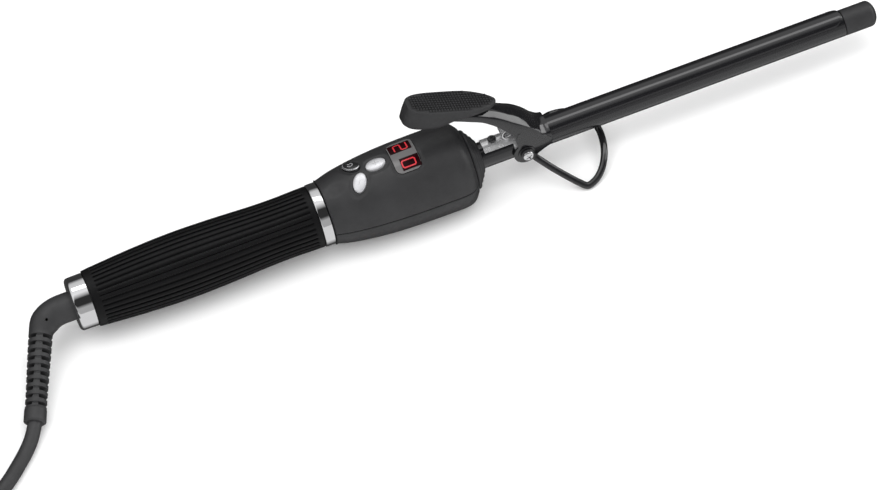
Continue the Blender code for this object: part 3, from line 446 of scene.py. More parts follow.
def add_barrel():
    rear, front = -24 * MM, TIP_CAP_X - 0.3 * MM
    profile = [
        (rear, BARREL_R), (front - SOFT_EDGE, BARREL_R), (front, BARREL_R - SOFT_EDGE),
        (front, BARREL_BORE), (rear, BARREL_BORE),
    ]
    add_piece("barrel", turned(profile), ENAMEL, "handle", ["barrel_tube"])


def add_tip_cap():
    plug_rear, plug_r = TIP_CAP_X - 7 * MM, BARREL_BORE - 0.3 * MM
    shoulder, bulge, radius, steps = 203.6, 3.7, 6.5, 12
    profile = [
        (plug_rear, 0), (plug_rear, plug_r), (TIP_CAP_X, plug_r), (TIP_CAP_X, BARREL_R - SOFT_EDGE),
        (TIP_CAP_X + SOFT_EDGE, BARREL_R), (shoulder * MM, BARREL_R),
    ]
    for k in range(1, steps + 1):
        a = math.radians(90 * k / steps)
        across = radius * math.cos(a) if k < steps else 0
        along = shoulder + bulge * math.sin(a) ** 1.15
        profile.append((along * MM, across**0.9 * radius**0.1 * MM))
    add_piece("tip", turned(profile), SOFT_GREY, "handle", ["tip_cap"])


def add_rear_cap():
    rear, front, bore, wall, rounding = -207.3, -198.4, 7.6, 11.8, 1.8
    profile = [(front, 13.0), (front - 0.25, 13.2), (rear + rounding, 13.1)]
    for degrees in (20, 40, 60, 80):
        a = math.radians(degrees)
        profile.append((rear + rounding - rounding * math.sin(a), 11.3 + rounding * math.cos(a)))
    profile += [(rear, 11.0), (rear, 8.0), (rear + 0.4, bore), (rear + 1.4, bore)]
    profile += [(rear + 1.4, wall), (front, wall)]
    add_piece("cap", turned(metres(profile)), CHROME, "handle", ["rear_cap"])


def add_front_ring():
    rear, front, crown, bore = -84.0, -78.9, 15.6, 11.5
    profile = [
        (rear, bore), (rear, crown - 0.5), (rear + 0.1, crown - 0.3), (rear + 0.45, crown - 0.04),
        (rear + 0.9, crown), (front - 0.9, crown + 0.05), (front - 0.35, crown - 0.02),
        (front, crown - 0.35), (front, bore),
    ]
    add_piece("ring", turned(metres(profile)), CHROME, "handle", ["front_ring"])


def add_front_collar():
    profile = [
        (-8.2, 6.8), (-8.2, 8.7), (-5.5, 8.7), (-5.5, 14.0), (-5.4, 14.5), (-5.0, 14.85),
        (-4.4, 14.95), (-3.9, 14.85), (-3.55, 14.5), (-3.4, 14.0), (-3.35, 12.9), (-3.2, 12.7),
        (-2.4, 12.6), (-2.15, 12.35), (-2.1, 11.0), (-1.95, 10.8), (-1.0, 10.7), (-0.75, 10.45),
        (-0.7, 9.2), (-0.5, 9.0), (0.2, 8.6), (0.5, 8.2), (0.6, 7.6), (0.6, 6.8),
    ]
    collar = turned(metres(profile))
    add_piece("collar", collar, SOFT_GREY, "handle", ["front_collar"], angle=50)


GRIP_STATIONS = [  # x and radius, in mm
    (-198.1, 13.9), (-192.9, 14.4), (-172.8, 15.8), (-152.6, 16.5), (-132.4, 16.1),
    (-112.1, 15.2), (-100.0, 15.0), (-91.5, 15.2), (-84.3, 15.3),
]
RIBS = 34
GROOVE_DEPTH, RIB_CROWN = 1.0 * MM, 0.22 * MM
RIBS_REAR, RIBS_FRONT, RIB_END = -194.2 * MM, -87.2 * MM, 0.4 * MM


def add_grip():
    curve = [(p.x, p.y) for p in smooth_curve([Vector((x, r, 0)) for x, r in GRIP_STATIONS], 30)]

    def radius_on(x):
        for (xa, ra), (xb, rb) in zip(curve, curve[1:]):
            if x <= xb:
                return ra + (rb - ra) * (x - xa) / (xb - xa)
        return curve[-1][1]

    xs = [-198.1, -198.0, -197.6, -196, -194.6, -194.3, -194.0, -193.7, -193.3]
    xs += [-190 + 2.5 * k for k in range(40)]
    xs += [-89.5, -88.2, -87.8, -87.5, -87.2, -86.9, -86, -84.8, -84.4, -84.3]
    outer = [(x * MM, radius_on(x) * MM) for x in xs]
    outer[0] = (outer[0][0], outer[0][1] - 0.35 * MM)
    outer[-1] = (outer[-1][0], outer[-1][1] - 0.3 * MM)
    bore = 11.5 * MM
    profile = outer + [(outer[-1][0], bore), (outer[0][0], bore)]

    def rib(j, x, radius, angle):
        if j >= len(outer):
            return radius
        phase = abs((angle * RIBS / math.tau) % 1 - 0.5) * 2
        groove = smoothstep(0.60, 0.76, phase)
        crown = RIB_CROWN * min(phase / 0.6, 1) ** 2
        ends = smoothstep(RIBS_REAR - RIB_END, RIBS_REAR + RIB_END, x)
        ends *= 1 - smoothstep(RIBS_FRONT - RIB_END, RIBS_FRONT + RIB_END, x)
        return radius - ends * max(GROOVE_DEPTH * groove, crown)

    sleeve = turned(profile, RIBS * 16, radius_at=rib)
    add_piece("grip", sleeve, RUBBER, "handle", ["grip_sleeve"], angle=55)


# ---------------------------------------------------------------- housing
HOUSING_STATIONS = [  # x and radius, in mm
    (-78.6, 15.9), (-70.9, 17.9), (-60.7, 19.5), (-50.7, 20.5), (-40.5, 21.05), (-30.3, 21.25),
    (-21.6, 21.3), (-15.5, 21.3), (-11.1, 20.9), (-8.5, 19.7), (-7.0, 18.2), (-5.8, 16.6),
]
HOUSING_CURVE = refined(HOUSING_STATIONS, 12)
WINDOW_X, WINDOW_HALF_X, WINDOW_HALF_ARC, WINDOW_CORNER = (
    -35.7 * MM, 6.4 * MM, 10.4 * MM, 3.2 * MM,
)
BUTTON_CENTRE_X, BUTTON_SPREAD = -56.8 * MM, 6.9 * MM
BUTTON_LONG, BUTTON_SHORT = 5.0 * MM, 3.2 * MM
# where each button lies round the middle of the three, in degrees from straight ahead
BUTTONS = {"plus": 0, "minus": -120, "power": 126}
# x, arc, half length, half width and depth, in mm
DIMPLES = [(-72.5, -3.5, 6.0, 4.2, 0.55), (-70.0, -18.0, 7.0, 5.0, 0.35)]


def housing_radius(x):
    for (xa, ra), (xb, rb) in zip(HOUSING_CURVE, HOUSING_CURVE[1:]):
        if xa <= x <= xb:
            return ra + (rb - ra) * (x - xa) / (xb - xa)
    return HOUSING_CURVE[-1][1]


def on_housing(x, arc, lift):
    """Point over the housing at x and at that arc from its crown, as measured at the window."""
    angle = arc / housing_radius(WINDOW_X)
    r = housing_radius(x) + lift
    return Vector((x, r * math.sin(angle), AXIS_Z + r * math.cos(angle)))


def button_matrix(direction):
    turn = math.radians(direction)
    x = BUTTON_CENTRE_X + BUTTON_SPREAD * math.cos(turn)
    radius = housing_radius(x)
    angle = BUTTON_SPREAD * math.sin(turn) / radius
    slope = (housing_radius(x + MM) - housing_radius(x - MM)) / (2 * MM)
    place = Matrix.Translation(AXIS) @ Matrix.Rotation(-angle, 4, "X")
    place = place @ Matrix.Translation((x, 0, radius)) @ Matrix.Rotation(-math.atan(slope), 4, "Y")
    return place @ Matrix.Rotation(turn, 4, "Z")


def relief_depth(x, arc):
    """How far the housing's skin lies below its plain round form."""
    depth = 0.0
    for direction in BUTTONS.values():
        turn = math.radians(direction)
        du = x - (BUTTON_CENTRE_X + BUTTON_SPREAD * math.cos(turn))
        dv = arc - BUTTON_SPREAD * math.sin(turn)
        u = du * math.cos(turn) + dv * math.sin(turn)
        v = dv * math.cos(turn) - du * math.sin(turn)
        past = (math.hypot(u / BUTTON_LONG, v / BUTTON_SHORT) - 1) * BUTTON_SHORT
        depth = max(depth, 0.5 * MM * (1 - smoothstep(0.9 * MM, 2.4 * MM, past)))
    side_x = abs(x - WINDOW_X) - (WINDOW_HALF_X - WINDOW_CORNER)
    side_arc = abs(arc) - (WINDOW_HALF_ARC - WINDOW_CORNER)
    past = math.hypot(max(side_x, 0), max(side_arc, 0)) - WINDOW_CORNER
    if side_x < 0 and side_arc < 0:
        past = -WINDOW_CORNER
    depth = max(depth, 0.35 * MM * (1 - smoothstep(0.7 * MM, 1.7 * MM, past)))
    for x0, arc0, size_x, size_arc, deep in DIMPLES:
        far = math.hypot((x / MM - x0) / size_x, (arc / MM - arc0) / size_arc)
        depth += deep * MM * (1 - smoothstep(0.25, 1.1, far))
    return depth


def window_body(half_x, half_arc, corner, low, high):
    """A rounded rectangle on the crown of the housing, between two heights over its skin."""
    rows, columns = 48, 12
    bm = bmesh.new()
    sheets = []
    for lift in (high, low):
        sheet = []
        for i in range(rows + 1):
            arc = math.sin(math.pi / 2 * (2 * i / rows - 1)) * half_arc
            past = abs(arc) - (half_arc - corner)
            wide = half_x
            if past > 0:
                wide = half_x - corner + math.sqrt(max(corner**2 - past**2, 0))
            line = []
            for j in range(columns + 1):
                x = WINDOW_X + wide * (2 * j / columns - 1)
                line.append(bm.verts.new(on_housing(x, arc, lift)))
            sheet.append(line)
        sheets.append(sheet)
    top, bottom = sheets
    for i in range(rows):
        for j in range(columns):
            for sheet in sheets:
                bm.faces.new((sheet[i][j], sheet[i][j + 1], sheet[i + 1][j + 1], sheet[i + 1][j]))
        for j in (0, columns):
            bm.faces.new((top[i][j], top[i + 1][j], bottom[i + 1][j], bottom[i][j]))
    for i in (0, rows):
        for j in range(columns):
            bm.faces.new((top[i][j], top[i][j + 1], bottom[i][j + 1], bottom[i][j]))
    return bm


def oval(scale_x, scale_y, z):
    count = 64
    return [
        Vector((scale_x * math.cos(a), scale_y * math.sin(a), z))
        for a in (math.tau * k / count for k in range(count))
    ]


def add_housing():
    xs = [-78.6 + 0.45 * k for k in range(151)] + [-10.8, -10.3, -9.8, -9.3, -8.9, -8.5, -8.1]
    xs += [-7.7, -7.3, -7.0, -6.7, -6.4, -6.1, -5.8]
    outer = [(x * MM, housing_radius(x * MM)) for x in xs]
    outer[0] = (outer[0][0], outer[0][1] - 0.25 * MM)
    inner_front = -7.8 * MM
    inner = [(x * MM, housing_radius(x * MM) - 2 * MM) for x in (-76, -60, -50, -40, -30, -20, -11.5)]
    profile = outer + [(-5.8 * MM, 9 * MM), (inner_front, 9 * MM), (inner_front, 16.5 * MM)]
    profile += inner[::-1] + [(inner[0][0], 11.5 * MM), (outer[0][0], 11.5 * MM)]
    half_gap = 0.012
    for name, middle in (("upper", 0), ("lower", math.pi)):

        def skin(j, x, radius, angle):
            if j >= len(outer):
                return radius
            edge = math.pi / 2 - abs(angle - middle)
            r = radius - 0.25 * MM * (1 - smoothstep(0.011, 0.03, edge))
            if name == "upper":
                r -= relief_depth(x, radius * angle)
            return r

        shell = turned(
            profile, 150, middle - math.pi / 2 + half_gap, math.pi - 2 * half_gap, radius_at=skin,
        )
        for v in shell.verts:
            v.co.z = max(v.co.z, 0.0)
        piece = add_piece(
            "housing_" + name, shell, SOFT_GREY, "handle", [name + "_housing"],
        )
        if name == "upper":
            gap = 0.3 * MM
            cutters = [window_body(
                WINDOW_HALF_X + gap, WINDOW_HALF_ARC + gap, WINDOW_CORNER + gap, -5 * MM, 3 * MM,
            )]
            for direction in BUTTONS.values():
                hole = [oval(BUTTON_LONG + gap, BUTTON_SHORT + gap, z) for z in (-4 * MM, 3 * MM)]
                cutters.append(transformed(lofted(hole), button_matrix(direction)))
            subtract(piece, cutters)
    lens = window_body(WINDOW_HALF_X, WINDOW_HALF_ARC, WINDOW_CORNER, -1.6 * MM, -0.15 * MM)
    add_piece("lens", lens, LENS_PAINTED_REFLECTION, "handle", ["display_lens"])


def ribbon(bm, path, width, low, high, closed=False, place=on_housing):
    """A raised flat line of that width along (x, arc) points, as one closed body."""
    points = [Vector((x, arc)) for x, arc in path]
    count = len(points)
    left, right = [], []
    for i, point in enumerate(points):
        before = points[i - 1] if (i or closed) else points[i]
        after = points[(i + 1) % count] if (i < count - 1 or closed) else points[i]
        one = (point - before).normalized() if (point - before).length else (after - point).normalized()
        two = (after - point).normalized() if (after - point).length else one
        mean = (one + two).normalized()
        across = Vector((-mean.y, mean.x)) * (width / 2 / max(mean.dot(one), 0.5))
        left.append(point + across)
        right.append(point - across)
    rings = []
    for a, b in zip(left, right):
        rings.append([bm.verts.new(place(p.x, p.y, z)) for p, z in
                      ((a, high), (b, high), (b, low), (a, low))])
    for i in range(count if closed else count - 1):
        here, there = rings[i], rings[(i + 1) % count]
        for j in range(4):
            k = (j + 1) % 4
            bm.faces.new((here[j], here[k], there[k], there[j]))
    if not closed:
        bm.faces.new(rings[0])
        bm.faces.new(rings[-1])


def add_display():
    """Two red digits on dark patches, just under the gloss of the window."""
    low, back, front = -0.5 * MM, 0.01 * MM, 0.05 * MM
    patches = bmesh.new()
    # narrow strips, because a wide flat one would sink into the round window
    strips, strip_pitch, strip_width, steps = 12, 0.56, 0.55 * MM, 6
    for x_low, x_high, arc in ((-41.6, -30.6, 5.0), (-38.9, -29.5, -6.0)):
        for strip in range(strips):
            side = (arc + (strip - (strips - 1) / 2) * strip_pitch) * MM
            path = [((x_low + (x_high - x_low) * k / steps) * MM, side) for k in range(steps + 1)]
            ribbon(patches, path, strip_width, low, back)
    add_piece("digit_patches", patches, DIGIT_BACK, "handle")
    digits = bmesh.new()
    two = [(-38.9, 2.5), (-38.9, 6.4), (-38.3, 7.0), (-36.2, 7.0), (-35.7, 6.5),
           (-35.6, 3.0), (-35.1, 2.4), (-33.1, 2.4), (-32.5, 2.9), (-32.5, 7.4)]
    zero = [(-38.3, -7.4), (-37.7, -8.0), (-32.4, -8.0), (-31.8, -7.4), (-31.8, -4.9), (-32.4, -4.3),
            (-37.7, -4.3), (-38.3, -4.9)]
    for path, closed in ((two, False), (zero, True)):
        points = []
        for (xa, aa), (xb, ab) in zip(path, path[1:] + path[:1] if closed else path[1:]):
            points += [(xa + (xb - xa) * k / 4, aa + (ab - aa) * k / 4) for k in range(4)]
        if not closed:
            points.append(path[-1])
        ribbon(digits, metres(points), 0.66 * MM, back - 0.05 * MM, front, closed)
    add_piece("digits", digits, DIGIT, "handle")


def dome_height(u, v):
    """Height of a button's top at a point of its oval."""
    q = min(math.hypot(u / BUTTON_LONG, v / BUTTON_SHORT), 1)
    return (0.05 + 0.92 * math.sqrt(max(1 - q**2.2, 0))) * MM


MARK_LOW, MARK_HIGH = -0.08 * MM, 0.035 * MM


def on_dome(u, v, lift):
    return Vector((u, v, dome_height(u, v) + lift))


def add_power_rim(place):
    """A silver line along part of the button's edge, widest halfway."""
    steps, first, run, edge = 40, -22, 230, 0.985
    sections = []
    for k in range(steps + 1):
        t = math.radians(first + run * k / steps)
        thick = 0.02 + 0.15 * math.sin(math.pi * k / steps)
        outer, inner = [(BUTTON_LONG * share * math.cos(t), BUTTON_SHORT * share * math.sin(t))
                        for share in (edge, edge - thick)]
        corners = ((outer, MARK_HIGH), (inner, MARK_HIGH), (inner, MARK_LOW), (outer, MARK_LOW))
        sections.append([on_dome(*point, lift) for point, lift in corners])
    add_piece("power_rim", lofted(sections), SILVER, "power_key", matrix=place)


def add_mark(name, material, lines, width, place):
    """The sign on a button: raised lines through points in mm."""
    marks = bmesh.new()
    for line in lines:
        ribbon(marks, metres(line), width, MARK_LOW, MARK_HIGH, place=on_dome)
    add_piece(name + "_mark", marks, material, name + "_key", matrix=place)


def add_buttons():
    ring_r = 1.25
    ring = [(ring_r * math.cos(math.radians(a)), ring_r * math.sin(math.radians(a)))
            for a in range(40, 321, 14)]
    bar = [(0.2, 0), (1.0, 0), (1.8, 0)]
    dash = [(-1.7, 0), (-0.8, 0), (0, 0), (0.8, 0), (1.7, 0)]
    stubs = [[(0, side * 0.14), (0, side * 0.6), (0, side * 1.2)] for side in (-1, 1)]
    for name, direction in BUTTONS.items():
        place = button_matrix(direction)
        sections = [oval(BUTTON_LONG, BUTTON_SHORT, -3.0 * MM)]
        for share in (1, 0.995, 0.98, 0.95, 0.9, 0.82, 0.7, 0.55, 0.4, 0.25, 0.1):
            z = dome_height(BUTTON_LONG * share, 0)
            sections.append(oval(BUTTON_LONG * share, BUTTON_SHORT * share, z))
        material, slot = (KEY_BLACK, "black_plastic") if name == "power" else (SILVER, "silver_plastic")
        add_piece(
            name + "_cap", lofted(sections), material, name + "_key", [name + "_button"],
            matrix=place,
        )
        if name == "power":
            add_power_rim(place)
            add_mark(name, SILVER, [ring, bar], 0.34 * MM, place)
        else:
            add_mark(name, STEEL, [dash, *stubs] if name == "plus" else [dash], 0.26 * MM, place)


add_barrel()
add_tip_cap()
add_rear_cap()
add_front_ring()
add_front_collar()
add_grip()
add_housing()
add_display()
add_buttons()


# ---------------------------------------------------------------- strain relief
SLOTS = 10
SLOT_PITCH, SLOT_DEPTH, LINE_DEPTH = 3.85 * MM, 3.8 * MM, 0.5 * MM
ELBOW_R, BOOT_R, BOOT_TAPER = 7.1 * MM, 5.75 * MM, 0.55 * MM
COLLAR_R, COLLAR_LENGTH = 5.4 * MM, 7.2 * MM
HOLE_R, HOLE_DEPTH = 0.7 * MM, 9 * MM


def relief_line():
    """Points on the centreline of the elbow and boot."""
    bend = 10.5 * MM
    start = Vector((REAR_X + 2 * MM, 0, AXIS_Z))
    before = RELIEF_CORNER + Vector((bend, 0, 0))
    after = RELIEF_CORNER + RELIEF_DIRECTION * bend
    points = [start, start.lerp(before, 0.5)]
    for k in range(17):
        t = k / 16
        points.append(before * (1 - t) ** 2 + 2 * RELIEF_CORNER * t * (1 - t) + after * t**2)
    straight = RELIEF_LENGTH - bend
    points += [after + RELIEF_DIRECTION * straight * k / 150 for k in range(1, 151)]
    return points


def add_relief():
    path = relief_line()
    total = sum((b - a).length for a, b in zip(path, path[1:]))
    collar = total - COLLAR_LENGTH
    first = collar - SLOTS * SLOT_PITCH - 0.4 * MM
    sideways = RELIEF_DIRECTION.cross(Vector((-0.13, -0.64, 0.76))).normalized()

    def radius(along, outward):
        if along > collar:
            past = along - collar
            left = total - along
            r = COLLAR_R - 0.35 * MM * (1 - smoothstep(0, 0.8 * MM, past))
            return r - 0.9 * MM * (1 - smoothstep(0, 1.0 * MM, left)) ** 2
        share = smoothstep(first - 7 * MM, first + 1 * MM, along)
        r = ELBOW_R + (BOOT_R - ELBOW_R) * share
        r -= BOOT_TAPER * smoothstep(first, collar, along)
        if along < first:
            return r
        phase = ((along - first) / SLOT_PITCH) % 1
        band = smoothstep(0.50, 0.56, phase) * (1 - smoothstep(0.92, 0.98, phase))
        if along > collar - 0.6 * MM:
            band = 0
        # the slots are deep on two sides, with a shallow line across the bridges between them
        bridge = 1 - smoothstep(0.30, 0.42, abs(outward.dot(sideways)))
        thin = smoothstep(0.50, 0.56, phase) * (1 - smoothstep(0.68, 0.78, phase))
        return r - max(SLOT_DEPTH * band * (1 - bridge), LINE_DEPTH * thin * bridge)

    piece = add_piece(
        "relief", swept(path, radius, 64), CORD, "swivel", ["strain_relief"], angle=50,
    )
    outside = Vector((-220.9, -4.4, 22.0)) * MM
    hole = bmesh.new()
    down = Vector((0.132, 0.636, -0.760))
    turn = down.to_track_quat("Z", "Y").to_matrix().to_4x4()
    bmesh.ops.create_cone(
        hole, cap_ends=True, segments=24, radius1=HOLE_R, radius2=HOLE_R, depth=HOLE_DEPTH,
        matrix=Matrix.Translation(outside) @ turn,
    )
    subtract(piece, [hole])


# ---------------------------------------------------------------- clip
PIVOT = Vector((22.0 * MM, 0, AXIS_Z))
CLIP_SHEET = 0.85 * MM
EAR_FACES = (7.65 * MM, 8.36 * MM)
LEVER_STATIONS = [  # x, crown, half width and lower edge from the pivot, in mm
    (13.7, 8.9, 8.0, 1.6), (11.4, 9.4, 8.3, 2.0), (8.9, 11.3, 8.4, 3.6), (6.3, 14.9, 8.4, 5.4),
    (3.7, 18.0, 8.4, 6.8), (1.0, 20.6, 8.4, 8.2), (-1.3, 22.5, 8.3, 9.6), (-3.7, 24.3, 7.9, 11.8),
    (-6.5, 26.5, 7.3, 15.8), (-9.9, 28.9, 6.7, 20.6), (-13.8, 31.2, 6.2, 24.8), (-18.6, 34.0, 5.8, 28.8),
    (-24.8, 37.3, 5.5, 32.2), (-32.1, 40.9, 5.1, 36.0), (-39.3, 44.4, 4.7, 40.0),
]
ARCH = [  # share of the half width, drop below the crown in mm: crest, broad bevel, side wall
    (0.0, 0.0), (0.14, 0.03), (0.26, 0.12), (0.35, 0.26), (0.43, 0.46), (0.60, 0.98),
    (0.76, 1.50), (0.88, 1.95), (0.94, 2.50), (0.98, 3.40), (1.0, 5.30),
]


def lever_loop(x, crown, half, edge):
    """Section of the lever: a bevelled arch of sheet, open below."""

    def arch(width, top, bottom, sink):
        side = []
        for share, drop in ARCH:
            side.append((share * width, max(top - drop * MM * sink, bottom)))
        side.append((width, bottom))
        return side

    room = max(min((crown - edge) / (6.2 * MM), 1), 0.35)
    outer = arch(half, crown, edge, room)
    inner = arch(half - CLIP_SHEET, crown - CLIP_SHEET, edge, room)
    loop = [(-y, z) for y, z in reversed(outer)] + outer[1:]
    loop += list(reversed([(-y, z) for y, z in reversed(inner)] + inner[1:]))
    return [PIVOT + Vector((x, y, z)) for y, z in loop]


def ear_outline():
    """The ear that turns on a pivot screw: a round lobe and the edge up to the lever."""
    lobe_r = 6.4 * MM
    lobe = []
    for k in range(41):
        a = math.radians(125 + 206 * k / 40)
        lobe.append((lobe_r * math.cos(a), lobe_r * math.sin(a)))
    edge = [(9.0, -1.4), (13.4, 0.4), (13.4, 4.4), (8.6, 9.0), (2.0, 14.4), (-2.6, 14.4), (-4.2, 10.4)]
    return lobe + metres(edge)


def add_blade():
    """A curved strip on the barrel, rounded off in plan at its tip."""
    inner = BARREL_R + 0.25 * MM
    outer = inner + CLIP_SHEET
    rear, front, tip, rim_drop = 29.3 * MM, 189.2 * MM, 5.0 * MM, 0.22 * MM
    half_angle, stations, count = math.radians(48), 30, 32
    xs = [rear + (front - tip - rear) * k / stations for k in range(stations + 1)]
    xs += [front - tip * (1 - math.sin(math.radians(a))) for a in range(6, 90, 6)]
    sections = []
    for x in xs:
        past = max(x - (front - tip), 0) / tip
        half = half_angle * math.sqrt(max(1 - past**2, 0.004))
        angles = [half * (2 * k / count - 1) for k in range(count + 1)]
        section = []
        for a in angles:
            rim = rim_drop * (1 - smoothstep(0, 0.10, 1 - abs(a) / half))
            rim += rim_drop * (1 - smoothstep(0, 0.6 * MM, front - x))
            section.append((x, (outer - rim) * math.sin(a), AXIS_Z + (outer - rim) * math.cos(a)))
        section += [(x, inner * math.sin(a), AXIS_Z + inner * math.cos(a)) for a in reversed(angles)]
        sections.append(section)
    add_piece("blade", lofted(sections), ENAMEL, "clip", ["clip_blade"], angle=50)


def add_lever():
    stations = smooth_curve([Vector(s[:3]) for s in LEVER_STATIONS], 5)
    edges = smooth_curve([Vector((s[3], 0, 0)) for s in LEVER_STATIONS], 5)
    bm = lofted([
        lever_loop(p.x * MM, p.y * MM, p.z * MM, e.x * MM) for p, e in zip(stations, edges)
    ])
    for faces in ((-EAR_FACES[1], -EAR_FACES[0]), EAR_FACES):
        lofted([[PIVOT + Vector((x, y, z)) for x, z in ear_outline()] for y in faces], bm)
    add_piece("lever", bm, ENAMEL, "clip", ["clip_lever"], angle=28)


PAD_FRONT = PIVOT + Vector((-8.4, 0, 35.7)) * MM
PAD_PITCH = math.radians(22.9)
PAD_STATIONS = [  # way back from the front, half width and thickness, in mm
    (0, 1.1, 3.2), (1.3, 2.4, 3.3), (4.2, 4.3, 3.4), (9.5, 6.3, 3.8), (15.5, 7.5, 5.0),
    (22.7, 7.7, 7.1), (28.5, 7.7, 10.2), (35, 7.5, 11.2), (40, 6.9, 11.7), (43.5, 5.7, 11.8),
    (45.5, 4.2, 11.5), (46.5, 2.8, 11.2),
]
STUD_PITCH = 1.5 * MM
STUD_HEIGHT = 0.8 * MM
STUD_FOOT = 0.39 * STUD_PITCH
STUD_TOP = 0.62 * STUD_FOOT
STUD_MARGIN, LAST_STUD = 1.2 * MM, 45.0 * MM


def pad_half(s):
    for a, b in zip(PAD_STATIONS, PAD_STATIONS[1:]):
        if a[0] * MM <= s <= b[0] * MM:
            return (a[1] + (b[1] - a[1]) * (s / MM - a[0]) / (b[0] - a[0])) * MM
    return 0


def add_pad():
    """The thumb rest, with a square grid of blunt pyramids on it."""
    place = Matrix.Translation(PAD_FRONT) @ Matrix.Rotation(PAD_PITCH, 4, "Y")
    place = place @ Matrix.Rotation(math.pi, 4, "Z")
    top = -STUD_HEIGHT
    sections = []
    for p in smooth_curve([Vector(s) for s in PAD_STATIONS], 6):
        along, half, thick = p.x * MM, p.y * MM, p.z * MM
        side = [(half * share - 0.5 * MM, top) for share in (0.3, 0.7, 1.0)]
        side = [(max(y, 0.1 * MM), z) for y, z in side]
        side += [(half - 0.2 * MM, top - 0.08 * MM), (half, top - 0.35 * MM)]
        side += [(half + 0.3 * MM * math.sin(math.pi * k / 7), top - (thick + top) * k / 8 - 0.35 * MM)
                 for k in range(1, 7)]
        side += [(half - 0.1 * MM, -thick + 0.5 * MM), (half - 0.5 * MM, -thick + 0.1 * MM)]
        side += [(half * 0.6, -thick)]
        loop = [(-y, z) for y, z in reversed(side)] + side
        sections.append([(along, y, z) for y, z in loop])
    bm = transformed(lofted(sections), place)
    add_piece("pad", bm, PAD_GREY, "clip", ["thumb_pad"], angle=40)

    studs = bmesh.new()
    base = top - 0.15 * MM
    for i in range(30):
        for j in range(-5, 6):
            s, y = (i + 0.5) * STUD_PITCH + 0.9 * MM, j * STUD_PITCH
            if abs(y) > pad_half(s) - STUD_MARGIN or s > LAST_STUD:
                continue
            signs = ((1, 1), (-1, 1), (-1, -1), (1, -1))
            lofted([[(s + reach * a, y + reach * b, z) for a, b in signs]
                    for reach, z in ((STUD_FOOT, base), (STUD_TOP, 0))], studs)
    add_piece("pad_studs", transformed(studs, place), PAD_GREY, "clip", angle=20)


# ---------------------------------------------------------------- pivot, spring and stand
EYE_IN, EYE_OUT = 9.05 * MM, 9.95 * MM
HEAD_IN, HEAD_OUT = 10.15 * MM, 11.6 * MM
STAND_WIRE_R = 1.7 * MM
SCREW_SEGMENTS = 48
FOOT_X, FOOT_Y, BAR_BULGE, BAR_DROP, LEG_SAG = 22.2 * MM, 25.4 * MM, 17.0 * MM, 11.7 * MM, 1.1 * MM


def screw(name, place, shank, head_low, head_high, head_r, material, replaced):
    """A cross-head screw along local X; shank is where it starts and its radius."""
    dome = []
    for k in range(7):
        a = math.radians(90 * k / 6)
        dome.append((head_low + (head_high - head_low) * (0.45 + 0.55 * math.sin(a)),
                     head_r * (0.55 + 0.45 * math.cos(a))))
    profile = [(shank[0], 0), (shank[0], shank[1]), (head_low, shank[1]), (head_low, head_r), *dome]
    profile.append((head_high, 0))
    head = transformed(turned(profile, SCREW_SEGMENTS, height=0), place)
    piece = add_piece(name, head, material, "handle", [replaced])
    arm, deep, wide = head_r * 0.62, (head_high - head_low) * 0.55, head_r * 0.13
    for turn in (0.5, 0.5 + math.pi / 2):
        slot = box_between((head_high - deep, -arm, -wide), (head_high + MM, arm, wide))
        subtract(piece, [transformed(slot, place @ Matrix.Rotation(turn, 4, "X"))])


def add_pivot_screws():
    for label, sign in (("near", -1), ("far", 1)):
        across = Matrix.Translation(PIVOT) @ Matrix.Rotation(sign * math.pi / 2, 4, "Z")
        screw("screw_" + label, across, (6.75 * MM, 1.5 * MM), HEAD_IN, HEAD_OUT, 2.75 * MM, CHROME,
              "pivot_screw_" + label)
        low, high = sorted((sign * 8.55 * MM, sign * 8.85 * MM))
        washer = disc(low, high, 4.2 * MM, 1.8 * MM, PIVOT, 0.08 * MM)
        add_piece("washer_" + label, washer, KEY_BLACK, "handle",
                  ["pivot_washer_" + label])


def add_saddle_screw():
    upright = Matrix.Translation((8.1 * MM, 0, AXIS_Z)) @ Matrix.Rotation(-math.pi / 2, 4, "Y")
    screw("saddle_screw", upright, (7.35 * MM, 1.0 * MM), 8.2 * MM, 9.6 * MM, 2.1 * MM, KEY_BLACK,
          "bracket_screw")


def add_spring():
    """A coil across the saddle, with a straight end up to the lever."""
    centre, coil_r, wire_r = Vector((15.5 * MM, 0, AXIS_Z + 10.8 * MM)), 2.5 * MM, 0.5 * MM
    turns, pitch, steps = 4.25, 1.35 * MM, 28
    path = []
    for k in range(int(turns * steps) + 1):
        a = -math.pi / 2 - math.tau * k / steps
        along = -turns * pitch / 2 + pitch * k / steps
        path.append(centre + Vector((coil_r * math.cos(a), along, coil_r * math.sin(a))))
    last = path[-1]
    path += [last + Vector((-0.2 * MM, 0, z * MM)) for z in (3, 7, 11)]
    add_piece("spring", swept(path, wire_r, 12), CHROME, "handle", ["clip_spring"], angle=60)


def stand_path():
    foot_z = STAND_WIRE_R - AXIS_Z
    eye_y = (EYE_IN + EYE_OUT) / 2
    near = [Vector((0, -eye_y, 0)), Vector((3.1 * MM, -eye_y - 0.6 * MM, -2.7 * MM))]
    foot = Vector((FOOT_X, -FOOT_Y, foot_z))
    for share in (0.35, 0.7, 0.86):
        sag = LEG_SAG * math.sin(math.pi * share)
        near.append(near[1].lerp(foot, share) - Vector((0, 0, sag)))
    near += [foot + Vector((0.6 * MM, 0.1 * MM, 0))]
    bar = []
    for k in range(1, 8):
        a = math.radians(90 * k / 8 + 4)
        y = -FOOT_Y * math.cos(a)
        rise = 1 - (y / FOOT_Y) ** 2
        x = FOOT_X + BAR_BULGE * math.sin(a)
        bar.append(Vector((x, y, foot_z + (-BAR_DROP - foot_z) * rise)))
    apex = Vector((FOOT_X + BAR_BULGE, 0, -BAR_DROP))
    half = near + bar
    mirrored = [Vector((p.x, -p.y, p.z)) for p in reversed(half)]
    return smooth_curve(half + [apex] + mirrored, 8)


